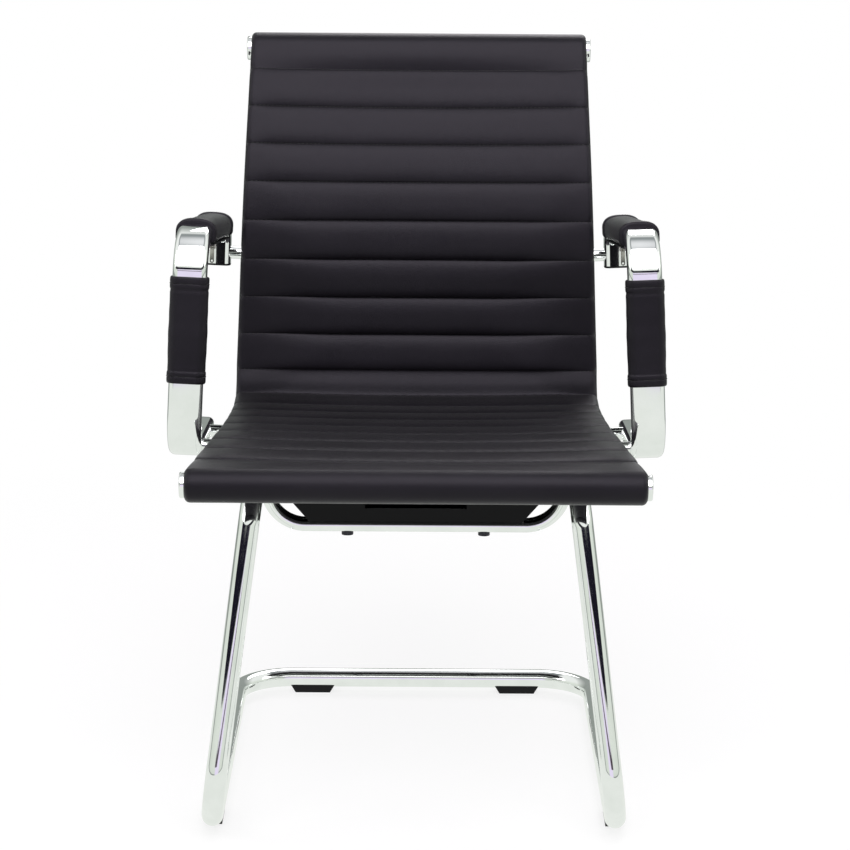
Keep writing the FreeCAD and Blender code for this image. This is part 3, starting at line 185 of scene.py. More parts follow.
picked = node(tree, "ShaderNodeMixShader",
              {0: rays["Is Camera Ray"], 1: lit.outputs[0], 2: lifted.outputs[0]})
node(tree, "ShaderNodeOutputMaterial", {"Surface": picked.outputs[0]})
floor.data.materials.append(floor_white)


# Sled frame: one steel tube, 25 mm across with a 2 mm wall, bent six times so that it runs
# from under-seat rail down the leg and along the floor, across the back and up again. It is
# polished and chrome plated after bending.
def new_finish(name):
    """A new material, its node tree, its surface shader and the coordinates of its patterns."""
    made = bpy.data.materials.new(name)
    made.use_nodes = True
    tree = made.node_tree
    return made, tree, tree.nodes["Principled BSDF"], node(tree, "ShaderNodeTexCoord").outputs["Object"]


# Bright chrome mirrors the room with hardly any haze; only wiping marks of about 30 mm vary
# its gloss.
chrome, tree, shader, where = new_finish("polished_chrome_plate")
smears = node(tree, "ShaderNodeTexNoise", {"Vector": where, "Scale": 34.0, "Detail": 4.0}).outputs["Fac"]
tone = node(tree, "ShaderNodeValToRGB", {0: smears}, [(0.3, "#ecefed"), (0.7, "#f4f6f5")]).outputs[0]
haze = node(tree, "ShaderNodeMapRange", {0: smears, 1: 0.3, 2: 0.8, 3: 0.02, 4: 0.07}).outputs[0]
feed(tree, shader, {"Metallic": 1.0, "Base Color": tone, "Roughness": haze})


def piece(name, shells, body, finish, crease=35.0):
    """A piece of the chair. Each shell is an array of points and lists of corners; a shell whose
    volume, the sum of a . (b x c) / 6 over its triangles, is negative is turned inside out."""
    points, faces, start = [], [], 0
    for spots, corners in shells:
        spots = np.asarray(spots, float)
        volume = 0.0
        for group in corners:
            group = np.asarray(group)
            for k in range(1, group.shape[1] - 1):
                a, b, c = spots[group[:, 0]], spots[group[:, k]], spots[group[:, k + 1]]
                volume += np.einsum("ij,ij->", a, np.cross(b, c)) / 6
        for group in corners:
            group = np.asarray(group)
            if volume < 0:
                group = group[:, ::-1]
            faces += (group + start).tolist()
        points.append(spots)
        start += len(spots)
    mesh = bpy.data.meshes.new(name)
    mesh.from_pydata(np.vstack(points).tolist(), [], faces)
    mesh.shade_smooth()
    mesh.set_sharp_from_angle(angle=math.radians(crease))
    mesh.materials.append(finish)
    made = bpy.data.objects.new(name, mesh)
    bpy.context.scene.collection.objects.link(made)
    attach(made, body)
    return made


def closed_tube(grid):
    """Shell over an (m, n, 3) grid whose rows are rings: a quad between rings i, i + 1 and
    corners j, j + 1 of n, and one face over the first and the last ring."""
    m, n = grid.shape[:2]
    i, j = np.meshgrid(np.arange(m - 1), np.arange(n), indexing="ij")
    after = (j + 1) % n
    quads = np.stack([i * n + j, i * n + after, (i + 1) * n + after, (i + 1) * n + j], -1)
    first = np.arange(n)[None, ::-1]
    last = (m - 1) * n + np.arange(n)[None, :]
    return grid.reshape(-1, 3), [quads.reshape(-1, 4), first, last]


def bent(corners, radii, step):
    """Centre line of a bent tube. With unit vectors a back and b ahead of a corner, and half
    the angle between them h, its arc has centre corner + m r / sin h, with m the unit of
    a + b, and points centre - m r cos t + n r sin t, with n the unit of b - a and t from
    h - 90 to 90 - h degrees, about step degrees apart."""
    corners = np.asarray(corners, float)
    parts = [corners[:1]]
    for before, corner, beyond, radius in zip(corners, corners[1:], corners[2:], radii):
        a = (before - corner) / np.linalg.norm(before - corner)
        b = (beyond - corner) / np.linalg.norm(beyond - corner)
        half = math.acos(np.clip(a @ b, -1.0, 1.0)) / 2
        m = (a + b) / np.linalg.norm(a + b)
        n = (b - a) / np.linalg.norm(b - a)
        reach = math.pi / 2 - half
        t = np.linspace(-reach, reach, max(4, int(math.degrees(2 * reach) / step)))[:, None]
        centre = corner + m * radius / math.sin(half)
        parts.append(centre - m * radius * np.cos(t) + n * radius * np.sin(t))
    parts.append(corners[-1:])
    return np.vstack(parts)


def directions(path):
    """Unit direction at each point of a path, by differences to its neighbours on both sides."""
    leap = np.diff(path, axis=0)
    leap /= np.linalg.norm(leap, axis=1)[:, None]
    both = np.vstack([leap[:1], leap[:-1] + leap[1:], leap[-1:]])
    return both / np.linalg.norm(both, axis=1)[:, None]


def carried(section, path, across):
    """Section carried along a path: point (i, j) is path[i] + section[j, 0] side[i] +
    section[j, 1] up[i], with up the unit of along x across and side = up x along."""
    along = directions(path)
    up = np.cross(along, across)
    up /= np.linalg.norm(up, axis=1)[:, None]
    side = np.cross(up, along)
    return path[:, None] + section[:, :1] * side[:, None] + section[:, 1:] * up[:, None]


def rolled_across(path, start):
    """Side directions that turn as little as they can along a path: each is the last one
    less its part along the new direction, made a unit again."""
    along = directions(path)
    found = [np.asarray(start, float)]
    for ahead in along[1:]:
        side = found[-1] - ahead * (found[-1] @ ahead)
        found.append(side / np.linalg.norm(side))
    return np.array(found)


def oval(width, thick, radius, count):
    """Outline of a pressed tube, from t of 0 to a full turn: quarter circles of the radius about
    (+-(width / 2 - radius), +-(thick / 2 - radius)), joined by straight sides."""
    t = (np.arange(count) + 0.5) * 2 * math.pi / count
    flat, post = width / 2 - radius, thick / 2 - radius
    return np.stack([radius * np.cos(t) + flat * np.sign(np.cos(t)),
                     radius * np.sin(t) + post * np.sign(np.sin(t))], -1)


def pipe(path, width, thick, wall, across, radius, count=48):
    """Bent tube with open ends: the outer rings, carried along the path, and at each end a
    0.4 mm rounded rim and 12 mm of bore."""
    edge, bore = 0.0004, 0.012
    body, rim, slim = [carried(oval(width - 2 * inset, thick - 2 * inset, radius - inset, count), path, across)
                       for inset in (0.0, edge, wall)]
    first, last = directions(path)[[0, -1]]
    rings = [slim[0] + first * bore, slim[0] + first * edge, rim[0], body[0] + first * edge]
    close = [body[-1] - last * edge, rim[-1], slim[-1] - last * edge, slim[-1] - last * bore]
    return closed_tube(np.concatenate([np.array(rings), body[1:-1], np.array(close)]))


sled_tube, sled_wall, sled_lean = 0.025, 0.002, 17
foot_front, sled_reach, rail_reach = -0.297, 0.594, 0.405
runner_height, rail_height = 0.0185, 0.396
half_runners, half_rails = 0.235, 0.1885
foot_bend, rear_bend, rail_bend = 0.060, 0.072, 0.052
foot_corner = foot_front + sled_tube / 2 - foot_bend * (math.tan(math.radians(90 + sled_lean) / 2) - 1)
knee = foot_corner + (rail_height - runner_height) * math.tan(math.radians(sled_lean))
half_sled = np.array([
    (-half_rails, foot_front + rail_reach, rail_height), (-half_rails, knee, rail_height),
    (-half_runners, foot_corner, runner_height),
    (-half_runners, foot_front + sled_reach - sled_tube / 2, runner_height),
])
sled_line = bent(np.vstack([half_sled, half_sled[::-1] * (-1, 1, 1)]),
                 [rail_bend, foot_bend, rear_bend, rear_bend, foot_bend, rail_bend], 2.5)
sled_across = rolled_across(sled_line, (1, 0, 0))
sled = piece("sled_tube", [pipe(sled_line, sled_tube, sled_tube, sled_wall, sled_across, sled_tube / 2)],
             "chair", chrome)
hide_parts("sled_frame")


# Glides and plugs: moulded black nylon. The glides snap up into the runners and keep the
# chrome off the floor; the plugs close the ends of the under-seat rails and of the arms.
def dress(finish, *names):
    """Give CAD nodes their finish."""
    for name in names:
        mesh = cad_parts[name].data
        if not mesh.materials:
            mesh.materials.append(finish)
        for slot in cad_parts[name].material_slots:
            slot.material = finish


# Moulded nylon is a soft black with a fine spark-eroded texture of about 0.5 mm.
nylon, tree, shader, where = new_finish("moulded_black_nylon")
spark = node(tree, "ShaderNodeTexNoise", {"Vector": where, "Scale": 1900.0, "Detail": 3.0}).outputs["Fac"]
tone = node(tree, "ShaderNodeValToRGB", {0: spark}, [(0.3, "#0a0a0c"), (0.7, "#121214")]).outputs[0]
bump = node(tree, "ShaderNodeBump", {"Height": spark, "Strength": 0.18, "Distance": 0.0002}).outputs[0]
feed(tree, shader, {"Base Color": tone, "Roughness": 0.46, "Specular IOR Level": 0.22, "Normal": bump})
for name in ("glide_front", "glide_rear", "rail_plug", "arm_plug_lower", "arm_plug_rear"):
    dress(nylon, name + "_left", name + "_right")

# Stretchers: two lengths of tube pressed to a flat oval, turned up at both ends, welded
# between the under-seat rails and chromed with the frame.
stretcher_wide, stretcher_thick, stretcher_wall = 0.026, 0.0145, 0.0018
stretcher_low, stretcher_flat, stretcher_top = 0.338, 0.160, 0.1865
for end, behind_foot in (("front", 0.187), ("rear", 0.342)):
    y = foot_front + behind_foot
    line = bent([(-stretcher_top, y, rail_height), (-stretcher_flat, y, stretcher_low),
                 (stretcher_flat, y, stretcher_low), (stretcher_top, y, rail_height)], [0.046, 0.046], 3.0)
    shell = pipe(line, stretcher_wide, stretcher_thick, stretcher_wall, (0, 1, 0), stretcher_thick / 2)
    bar = piece("stretcher_tube_" + end, [shell], "chair", chrome)
    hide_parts("stretcher_" + end)

# Brackets: 2.5 mm sheet folded to a channel and powder coated black, bolted down to the
# stretchers and screwed up into the steel plates inside the seat.

# Powder coat has a fine orange peel, about 1 mm from crest to crest, under an even sheen.
coat, tree, shader, where = new_finish("black_powder_coat")
peel = node(tree, "ShaderNodeTexNoise", {"Vector": where, "Scale": 900.0, "Detail": 2.0}).outputs["Fac"]
tone = node(tree, "ShaderNodeValToRGB", {0: peel}, [(0.3, "#060608"), (0.7, "#0b0b0e")]).outputs[0]
bump = node(tree, "ShaderNodeBump", {"Height": peel, "Strength": 0.25, "Distance": 0.0003}).outputs[0]
feed(tree, shader, {"Base Color": tone, "Roughness": 0.34, "Specular IOR Level": 0.16, "Normal": bump})
dress(coat, "seat_bracket_front", "seat_bracket_rear", "seat_plate_front", "seat_plate_rear",
      "side_rail_left", "side_rail_right", "back_bar", "front_cross_tube", "top_cross_tube")

# Bolts, nuts and screws: cold forged from steel wire, then zinc plated and blackened. They
# hold the brackets, the seat plates and the arms.

# Black zinc is a dark metal, slightly streaky over 2 to 3 mm.
zinc, tree, shader, where = new_finish("black_zinc_plated_steel")
streak = node(tree, "ShaderNodeTexNoise", {"Vector": where, "Scale": 420.0, "Detail": 3.0}).outputs["Fac"]
tone = node(tree, "ShaderNodeValToRGB", {0: streak}, [(0.3, "#2c2c30"), (0.7, "#46464c")]).outputs[0]
feed(tree, shader, {"Metallic": 1.0, "Base Color": tone, "Roughness": 0.38})
dress(zinc, "stretcher_bolts", "stretcher_nuts", "seat_screws", "arm_bolt_upper_left",
      "arm_bolt_upper_right", "arm_bolts_lower_left", "arm_bolts_lower_right")

# Ribbed cover: one sling of black polyurethane leather over thin foam, quilted by eighteen
# cross seams. It wraps round the front and top tubes and over both side rails.

# Coated fabric pressed with a calf grain of about 1.3 mm, drawn at that size; the coating
# is a cool charcoal black with a broad low sheen, a little duller where it is handled.
leather, tree, shader, where = new_finish("black_polyurethane_leather")
wander = node(tree, "ShaderNodeTexNoise", {"Vector": where, "Scale": 210.0, "Detail": 2.0}).outputs["Color"]
centred = node(tree, "ShaderNodeVectorMath", {0: wander, 1: (0.5, 0.5, 0.5)}, operation="SUBTRACT").outputs[0]
moved = node(tree, "ShaderNodeVectorMath", {0: centred, "Scale": 0.0016}, operation="SCALE").outputs[0]
grain_at = node(tree, "ShaderNodeVectorMath", {0: where, 1: moved}, operation="ADD").outputs[0]
cells = node(tree, "ShaderNodeTexVoronoi", {"Vector": grain_at, "Scale": 760.0},
             feature="DISTANCE_TO_EDGE").outputs[0]
pebble = node(tree, "ShaderNodeMapRange", {0: cells, 1: 0.0, 2: 0.18}).outputs[0]
pores = node(tree, "ShaderNodeTexNoise", {"Vector": where, "Scale": 1500.0, "Detail": 2.0}).outputs["Fac"]
hide = node(tree, "ShaderNodeMath", {0: pores, 1: 0.45, 2: pebble}, operation="MULTIPLY_ADD").outputs[0]
patches = node(tree, "ShaderNodeTexNoise", {"Vector": where, "Scale": 9.0, "Detail": 3.0}).outputs["Fac"]
tone = node(tree, "ShaderNodeValToRGB", {0: patches}, [(0.35, "#121015"), (0.65, "#18161b")]).outputs[0]
gloss = node(tree, "ShaderNodeMapRange", {0: patches, 1: 0.3, 2: 0.7, 3: 0.29, 4: 0.36}).outputs[0]
bump = node(tree, "ShaderNodeBump", {"Height": hide, "Strength": 0.32, "Distance": 0.00022}).outputs[0]
feed(tree, shader, {"Base Color": tone, "Roughness": gloss, "Specular IOR Level": 0.21,
                    "Specular Tint": linear("#f6f0ff"), "Sheen Weight": 0.05, "Sheen Roughness": 0.45,
                    "Normal": bump})

# Middle line of the sling, seen from the side: from the front tube's axis, where it climbs by
# 7.3 degrees, a run of tangent legs of (length in metres, turn in degrees).
roll_y, roll_z, seat_rise = -0.277, 0.427, 7.3
legs = [(math.radians(10.0) * 1.015, -10.0), (0.183, 0.0), (math.radians(9.7) * 0.325, 9.7),
        (math.radians(75.6) * 0.049, 75.6), (math.radians(8.4) * 0.772, 8.4),
        (math.radians(21.2) * 0.410, -21.2), (math.radians(10.6) * 0.787, -10.6)]
leg_table = [[0.0, roll_y, roll_z, math.radians(seat_rise)]]
for length, swing in legs:
    s, y, z, heading = leg_table[-1]
    half = math.radians(swing) / 2
    chord = length * np.sinc(half / math.pi)
    leg_table.append([s + length, y + chord * math.cos(heading + half),
                      z + chord * math.sin(heading + half), heading + 2 * half])
leg_table = np.array(leg_table)
leg_turns = np.array([math.radians(swing) / length for length, swing in legs])
sling_length = leg_table[-1, 0]
seam_first, seam_pitch, seam_count = 0.043, 0.04783, 18
seams = seam_first + seam_pitch * np.arange(seam_count)


def middle_line(s):
    """Point (y, z) and unit normal towards the sitter at distance s along the middle line: on
    a leg that turns k radians a metre, the chord to s is d sinc(k d / 2) at heading
    h + k d / 2, with d the way along the leg; the normal is (-sin, cos) of h + k d."""
    which = np.clip(np.searchsorted(leg_table[:, 0], s, side="right") - 1, 0, len(legs) - 1)
    start, y, z, heading = leg_table[which].T
    k = leg_turns[which]
    d = s - start
    chord = d * np.sinc(k * d / 2 / math.pi)
    at = heading + k * d / 2
    end = heading + k * d
    points = np.stack([y + chord * np.cos(at), z + chord * np.sin(at)], -1)
    return points, np.stack([-np.sin(end), np.cos(end)], -1)


def half_width(y, z):
    """Half width of the sling: 229 mm, flaring by an arc of radius 2406 mm over the front 385 mm
    of the seat, and narrowing in a straight line from 470 mm up to 213 mm at the top."""
    reach, gain, taper_from = 0.385, 0.031, 0.470
    bend = (reach ** 2 + gain ** 2) / (2 * gain)
    ahead = np.clip(roll_y + reach - y, 0.0, None)
    flare = bend - np.sqrt(bend ** 2 - ahead ** 2)
    taper = np.clip((z - taper_from) / (leg_table[-1, 2] - taper_from), 0.0, 1.0)
    return 0.229 + flare - 0.016 * taper


def nipped_width(s, base):
    """Half width of the leather: the sling's, less 1.1 mm exp(-(d / 3.5 mm)^2) at a distance d
    along the middle line from the nearest seam."""
    d = np.min(np.abs(s[:, None] - seams), 1)
    return half_width(base[:, 0], base[:, 1]) - 0.0011 * np.exp(-(d / 0.0035) ** 2)


def ease(t):
    """Smooth step 3 t^2 - 2 t^3 of t held to 0..1."""
    t = np.clip(t, 0.0, 1.0)
    return t * t * (3 - 2 * t)


def seam_rise(s):
    """Height of a seam over the middle line: 12.5 mm, and 4 mm more where the sling runs up to a
    tube, eased from 130 mm to 10 mm short of it."""
    return 0.0125 + 0.004 * (ease((0.130 - s) / 0.120) + ease((s - sling_length + 0.130) / 0.120))


def along_rib(s):
    """Number k of the rib at each distance s, and how far u of 0 to 1 it is past seam k."""
    k = np.clip(np.searchsorted(seams, s, side="right") - 1, 0, seam_count - 2)
    return k, np.clip((s - seams[k]) / seam_pitch, 0.0, 1.0)


def rib_rise(s, x, wide):
    """Height of the front leather over the middle line, and how far it slips along it. Between
    two seams u runs 0 to 1 and the rib is crown * (1 - |2 w - 1|^p)^q, where w = u^g leans
    its crest to the lower seam in the lumbar hollow; crown falls off to the side edges,
    puckers cross each seam, and the whole sling dips by dish * (1 - (x / wide)^2) between
    the rails."""
    k, u = along_rib(s)
    lumbar = np.exp(-((s - 0.555) / 0.105) ** 2)
    seat = 1 - ease((s - 0.36) / 0.06)
    w = u ** (1 - 0.16 * lumbar)
    pillow = np.clip(1 - np.abs(2 * w - 1) ** 2.8, 0.0, 1.0) ** (0.60 + 0.06 * lumbar)
    from_side = np.clip(1 - np.abs(x) / wide, 0.0, 1.0) * wide
    middle = ease(from_side / (0.035 + 0.11 * lumbar))
    side_crown = 0.0014
    crown = 0.0034 + 0.0044 * lumbar + 0.0004 * seat
    crown = side_crown + (crown - side_crown) * middle
    to_seam = np.minimum(u, 1 - u)
    pucker = 0.00035 * np.sin(x * 2 * math.pi / 0.0121 + 3.1 * np.sin(k * 5.3)) * np.sin(x * 61 + k * 2.7)
    pucker = pucker * np.exp(-to_seam / 0.14) * (1 - np.exp(-to_seam / 0.03))
    ends = ease(s / 0.06) * ease((sling_length - s) / 0.06)
    dish = (0.0045 + 0.0035 * ease((s - 0.45) / 0.1)) * ends
    rise = seam_rise(s) + crown * pillow + pucker * middle - dish * np.clip(1 - (x / wide) ** 2, 0, 1)
    return rise, -0.0042 * lumbar * middle * pillow * (1 - u)


tube_leather, tube_face = 0.020, 0.0155     # outside and inside of the leather round a tube


def front_rise(s, x, wide):
    """rib_rise between the first and last seam; beyond them, with t from 0 on the tube to 1 at
    the seam, it climbs from the seam's height to the tube's 20 mm as (1 - t), with 0.6 mm
    sin(pi t) of filling under it."""
    rise, slip = rib_rise(s, x, wide)
    for gap, span in ((s, seams[0]), (sling_length - s, sling_length - seams[-1])):
        t = np.clip(gap / span, 0.0, 1.0)
        climb = seam_rise(span) + (tube_leather - seam_rise(span)) * (1 - t) + 0.0006 * np.sin(math.pi * t)
        sag = rise - seam_rise(s)
        rise = np.where(gap < span, climb + np.minimum(sag, 0) * t, rise)
        slip = np.where(gap < span, 0.0, slip)
    return rise, slip


def between_seams(count):
    """Distances of count rows from each seam up to the next, closer together beside the seams:
    row i is pitch * (1 - cos(pi i / count)) / 2 past its seam."""
    steps = 0.5 - 0.5 * np.cos(math.pi * np.linspace(0, 1, count, endpoint=False))
    return [seam + seam_pitch * steps for seam in seams[:-1]]


def sling_rows(turned_from, count):
    """Rows of the sling from under the front tube to behind the top tube: for each row its
    base point, its unit normal, its distance s, and 1 where it lies on a tube. Round a tube
    the normal (a, b) turns by t to (a cos t - b sin t, a sin t + b cos t)."""
    wrap = np.radians(np.linspace(turned_from, 0, count, endpoint=False))
    s = np.concatenate([seams[0] * np.linspace(0, 1, 22, endpoint=False)] + between_seams(24)
                       + [seams[-1] + (sling_length - seams[-1]) * np.linspace(0, 1, 16)])
    base, normal = middle_line(s)
    ends = []
    for place, spin in ((0, wrap), (-1, -wrap[::-1])):
        a, b = normal[place]
        ends.append((np.repeat(base[place][None], count, 0),
                     np.stack([a * np.cos(spin) - b * np.sin(spin), a * np.sin(spin) + b * np.cos(spin)], -1)))
    base = np.concatenate([ends[0][0], base, ends[1][0]])
    normal = np.concatenate([ends[0][1], normal, ends[1][1]])
    tube = np.concatenate([np.ones(count), np.zeros(len(s)), np.ones(count)])
    return base, normal, np.concatenate([np.full(count, 0.0), s, np.full(count, sling_length)]), tube


def placed(base, normal, rise, slip, x):
    """Point x across, base + normal * rise + tangent * slip in the side plane; the tangent is
    the normal turned a quarter back."""
    tangent = np.stack([normal[..., 1], -normal[..., 0]], -1)
    flat = base + normal * rise[..., None] + tangent * slip[..., None]
    return np.stack([x, flat[..., 0], flat[..., 1]], -1)


def cover_shell(base, normal, x, rise, slip, side_x, side_rise):
    """Closed shell of a cover. Each ring is its face from left to right, its right side, and
    its left side, which mirrors the right one."""
    ring_x = np.concatenate([x, side_x, -side_x[:, ::-1]], 1)
    ring_rise = np.concatenate([rise, side_rise, side_rise[:, ::-1]], 1)
    ring_slip = np.concatenate([slip, np.zeros_like(side_x), np.zeros_like(side_x)], 1)
    return closed_tube(placed(base[:, None], normal[:, None], ring_rise, ring_slip, ring_x))


base, normal, s, tube = sling_rows(231.0, 42)
wide = nipped_width(s, base)
corner = 0.0065
spread = np.linspace(-1, 1, 151)
x = spread * (wide[:, None] - corner)
rise, slip = front_rise(s[:, None], x, wide[:, None])
rise = np.where(tube[:, None] > 0, tube_leather, rise)
slip = np.where(tube[:, None] > 0, 0.0, slip)
theta = np.radians(np.linspace(0, 90, 9)[1:])
round_x = wide[:, None] - corner + corner * np.sin(theta)
round_rise = rise[:, -1:] - corner * (1 - np.cos(theta))
# The sides run down over the rails and are tucked in between the covers, 1 mm behind the
# middle line; over the last 19 mm before a tube the tuck comes up to the tube's face.
tuck = np.minimum(s, sling_length - s) / 0.019
low = np.where(tube > 0, tube_face, tube_face - 0.0165 * ease(tuck))
low = np.minimum(low, round_rise[:, -1] - 0.0005)
wall_rise = round_rise[:, -1:] + (low[:, None] - round_rise[:, -1:]) * np.array([0.25, 0.5, 0.8, 1.0])
wall_x = wide[:, None] + np.array([0.0, 0.0003, 0.0, -0.0012])
inner_rise = np.where(tube > 0, tube_face, 0.0035 + 0.012 * (1 - ease(tuck)))
inner_rise = np.stack([low + 0.0004, np.maximum(inner_rise, low)], -1)
inner_x = np.stack([wide - 0.0026, wide - 0.004], -1)
side_x = np.concatenate([round_x, wall_x, inner_x], 1)
side_rise = np.concatenate([round_rise, wall_rise, inner_rise], 1)
cover = piece("ribbed_leather_cover", [cover_shell(base, normal, x, rise, slip, side_x, side_rise)],
              "chair", leather, 60.0)
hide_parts("ribbed_cover", "webbing_core")


# Rear cover: the same leather over the back and underside, sewn through with the front and
# so ribbed too, but flatter. It meets the front cover in a welt along each side.
def back_rise(s, x, wide):
    """Depth of the rear leather behind the middle line: 11.2 mm at a seam and 1.6 mm more on a
    rib, plus the front's dip between the rails."""
    u = along_rib(s)[1]
    pillow = np.clip(1 - np.abs(2 * u - 1) ** 2.6, 0.0, 1.0) ** 0.7
    dish = (0.0015 + 0.0045 * ease((s - 0.45) / 0.1)) * ease(s / 0.06) * ease((sling_length - s) / 0.06)
    return -0.0112 - 0.0016 * pillow - dish * np.clip(1 - (x / wide) ** 2, 0, 1)


rear_hem = 0.0160   # from a tube's axis to the rear cover's end
s = np.concatenate([rear_hem + (seams[0] - rear_hem) * np.linspace(0, 1, 10, endpoint=False)]
                   + between_seams(14)
                   + [seams[-1] + (sling_length - rear_hem - seams[-1]) * np.linspace(0, 1, 8)])
base, normal = middle_line(s)
wide = nipped_width(s, base)
x = spread[::2] * (wide[:, None] - corner)
rise = back_rise(s[:, None], x, wide[:, None])
round_x = wide[:, None] - corner + corner * np.sin(theta)
round_rise = rise[:, -1:] + corner * (1 - np.cos(theta))
wall_rise = round_rise[:, -1:] + (-0.0012 - round_rise[:, -1:]) * np.array([0.4, 0.8, 1.0])
wall_x = wide[:, None] + np.array([0.0002, 0.0, -0.0012])
inner_x = wide[:, None] - np.array([0.0026, 0.004])
inner_rise = np.broadcast_to([-0.0016, -0.0094], (len(s), 2))
side_x = np.concatenate([round_x, wall_x, inner_x], 1)
side_rise = np.concatenate([round_rise, wall_rise, inner_rise], 1)
rear = piece("rear_leather_cover", [cover_shell(base, normal, x, rise, np.zeros_like(x), side_x, side_rise)],
             "chair", leather, 60.0)
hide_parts("rear_cover")

# Welts: a strip of the leather folded round a filler of 2.6 mm and caught between the two
# covers along each side.
welt_radius, welt_inset, welt_drop = 0.0013, 0.0006, 0.0011
t = np.linspace(0, 2 * math.pi, 10, endpoint=False)
welt_round = welt_radius * np.stack([np.cos(t), np.sin(t)], -1)
s = np.linspace(0.018, sling_length - 0.018, 260)
base, normal = middle_line(s)
wide = half_width(base[:, 0], base[:, 1])
shells = []
for sign in (-1, 1):
    line = placed(base, normal, np.full(len(s), -welt_drop), np.zeros(len(s)), sign * (wide - welt_inset))
    shells.append(closed_tube(carried(welt_round, line, (1, 0, 0))))
piece("side_welts", shells, "chair", leather)

# Seam thread: black bonded nylon, which sews the two covers together with one row of
# lockstitches, 3.8 mm long and 5.2 mm apart, in each cross seam.

# Twisted filament thread is satin black; its lay is drawn 2.4 mm long, so that it shows.
thread, tree, shader, where = new_finish("black_bonded_nylon_thread")
lay = node(tree, "ShaderNodeTexWave", {"Vector": where, "Scale": 260.0, "Distortion": 1.0},
           bands_direction="DIAGONAL").outputs["Fac"]
tone = node(tree, "ShaderNodeValToRGB", {0: lay}, [(0.2, "#0c0c0e"), (0.8, "#202024")]).outputs[0]
feed(tree, shader, {"Base Color": tone, "Roughness": 0.5})


def stitches(starts, ends, out, thick):
    """Rows of stitches: each is a five-ring bar of six sides from start to end, arched by
    thick * (1.6 sin(pi t) - 0.6) along out and thinned at its ends."""
    n = len(starts)
    t = np.array([0.0, 0.18, 0.5, 0.82, 1.0])
    girth = thick * np.array([0.45, 0.95, 1.0, 0.95, 0.45])
    along = ends - starts
    along /= np.linalg.norm(along, axis=1)[:, None]
    side = np.cross(along, out)
    spots = starts[:, None] + (ends - starts)[:, None] * t[None, :, None]
    spots = spots + out[:, None] * (thick * (1.6 * np.sin(math.pi * t) - 0.6))[None, :, None]
    angle = np.radians(60) * np.arange(6)
    ring = girth[None, :, None, None] * (np.cos(angle)[None, None, :, None] * side[:, None, None]
                                         + np.sin(angle)[None, None, :, None] * out[:, None, None])
    points = (spots[:, :, None] + ring).reshape(-1, 3)
    i, j = np.meshgrid(np.arange(4), np.arange(6), indexing="ij")
    after = (j + 1) % 6
    quad = np.stack([i * 6 + j, i * 6 + after, (i + 1) * 6 + after, (i + 1) * 6 + j], -1).reshape(-1, 4)
    first = 30 * np.arange(n)[:, None, None]
    caps = np.array([[5, 4, 3, 2, 1, 0], [24, 25, 26, 27, 28, 29]])
    return points, [(first + quad).reshape(-1, 4), (first + caps).reshape(-1, 6)]


stitch_long, stitch_pitch, stitch_margin = 0.0038, 0.0052, 0.008
starts, ends, outs = [], [], []
for k, seam in enumerate(seams):
    base, normal = middle_line(np.array([seam]))
    wide = float(half_width(base[0, 0], base[0, 1])) - stitch_margin
    row = np.arange(-wide, wide, stitch_pitch) + 0.0006 * math.sin(3.7 * k)
    for kept, at in ((starts, row), (ends, row + stitch_long)):
        rise, slip = front_rise(np.full(len(at), seam), at, np.full(len(at), wide + stitch_margin))
        kept.append(placed(np.repeat(base, len(at), 0), np.repeat(normal, len(at), 0), rise + 0.0001, slip, at))
    outs.append(np.broadcast_to([0.0, normal[0, 0], normal[0, 1]], (len(row), 3)))
piece("seam_stitching", [stitches(np.vstack(starts), np.vstack(ends), np.vstack(outs), 0.00042)],
      "chair", thread)


# End caps: turned steel buttons, chromed, pressed into both ends of the front and top
# tubes. Each has a rounded rim and a small recess in its middle.
def lathed(profile, axis_point, axis, count=56):
    """A profile of (way along the axis, radius) pairs spun about the axis: point (i, j) is the
    axis point + axis * way[i] + radius[i] * (cos t[j], sin t[j]) square to the axis."""
    profile = np.asarray(profile, float)
    axis = np.asarray(axis, float) / np.linalg.norm(axis)
    side = np.cross(axis, (0.0, 0.0, 1.0) if abs(axis[2]) < 0.9 else (1.0, 0.0, 0.0))
    side /= np.linalg.norm(side)
    up = np.cross(axis, side)
    t = np.linspace(0, 2 * math.pi, count, endpoint=False)
    circle = np.cos(t)[:, None] * side + np.sin(t)[:, None] * up
    return closed_tube(np.asarray(axis_point) + axis * profile[:, None, :1]
                       + profile[:, None, 1:] * circle[None])


hands = (("left", -1), ("right", 1))
cap_proud, cap_radius, cap_edge = 0.0055, 0.0150, 0.0018
cap_profile = [(-0.016, 0.0129), (-0.0002, 0.0129), (0.0, 0.0149)]
cap_profile += [(cap_proud - cap_edge + cap_edge * np.sin(q), cap_radius - cap_edge + cap_edge * np.cos(q))
                for q in np.radians(np.linspace(0, 90, 7))]
cap_profile += [(0.0057, 0.009), (0.0056, 0.0052), (0.0053, 0.0046), (0.0034, 0.0044), (0.0030, 0.0040),
                (0.0030, 0.0002)]
for end, spot, half in (("front", leg_table[0], 0.260), ("top", leg_table[-1], 0.213)):
    for side, sign in hands:
        cap = piece("cap_%s_%s" % (end, side),
                    [lathed(cap_profile, (sign * half, spot[1], spot[2]), (sign, 0, 0))],
                    "chair", chrome, 50.0)
        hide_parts("end_cap_%s_%s" % (end, side))

# Arms: one loop of flat oval steel tube on each side, bent three times and chromed. Two
# bolts hold its lower run to the seat rail and one holds its rear leg to the back.
arm_toe, arm_lean = math.radians(1.7), math.radians(2.2)
arm_x, arm_y, arm_z, arm_top, arm_rear = 0.273, -0.134, 0.427, 0.683, 0.324
arm_wide, arm_thick, arm_wall, arm_edge = 0.040, 0.020, 0.0018, 0.007


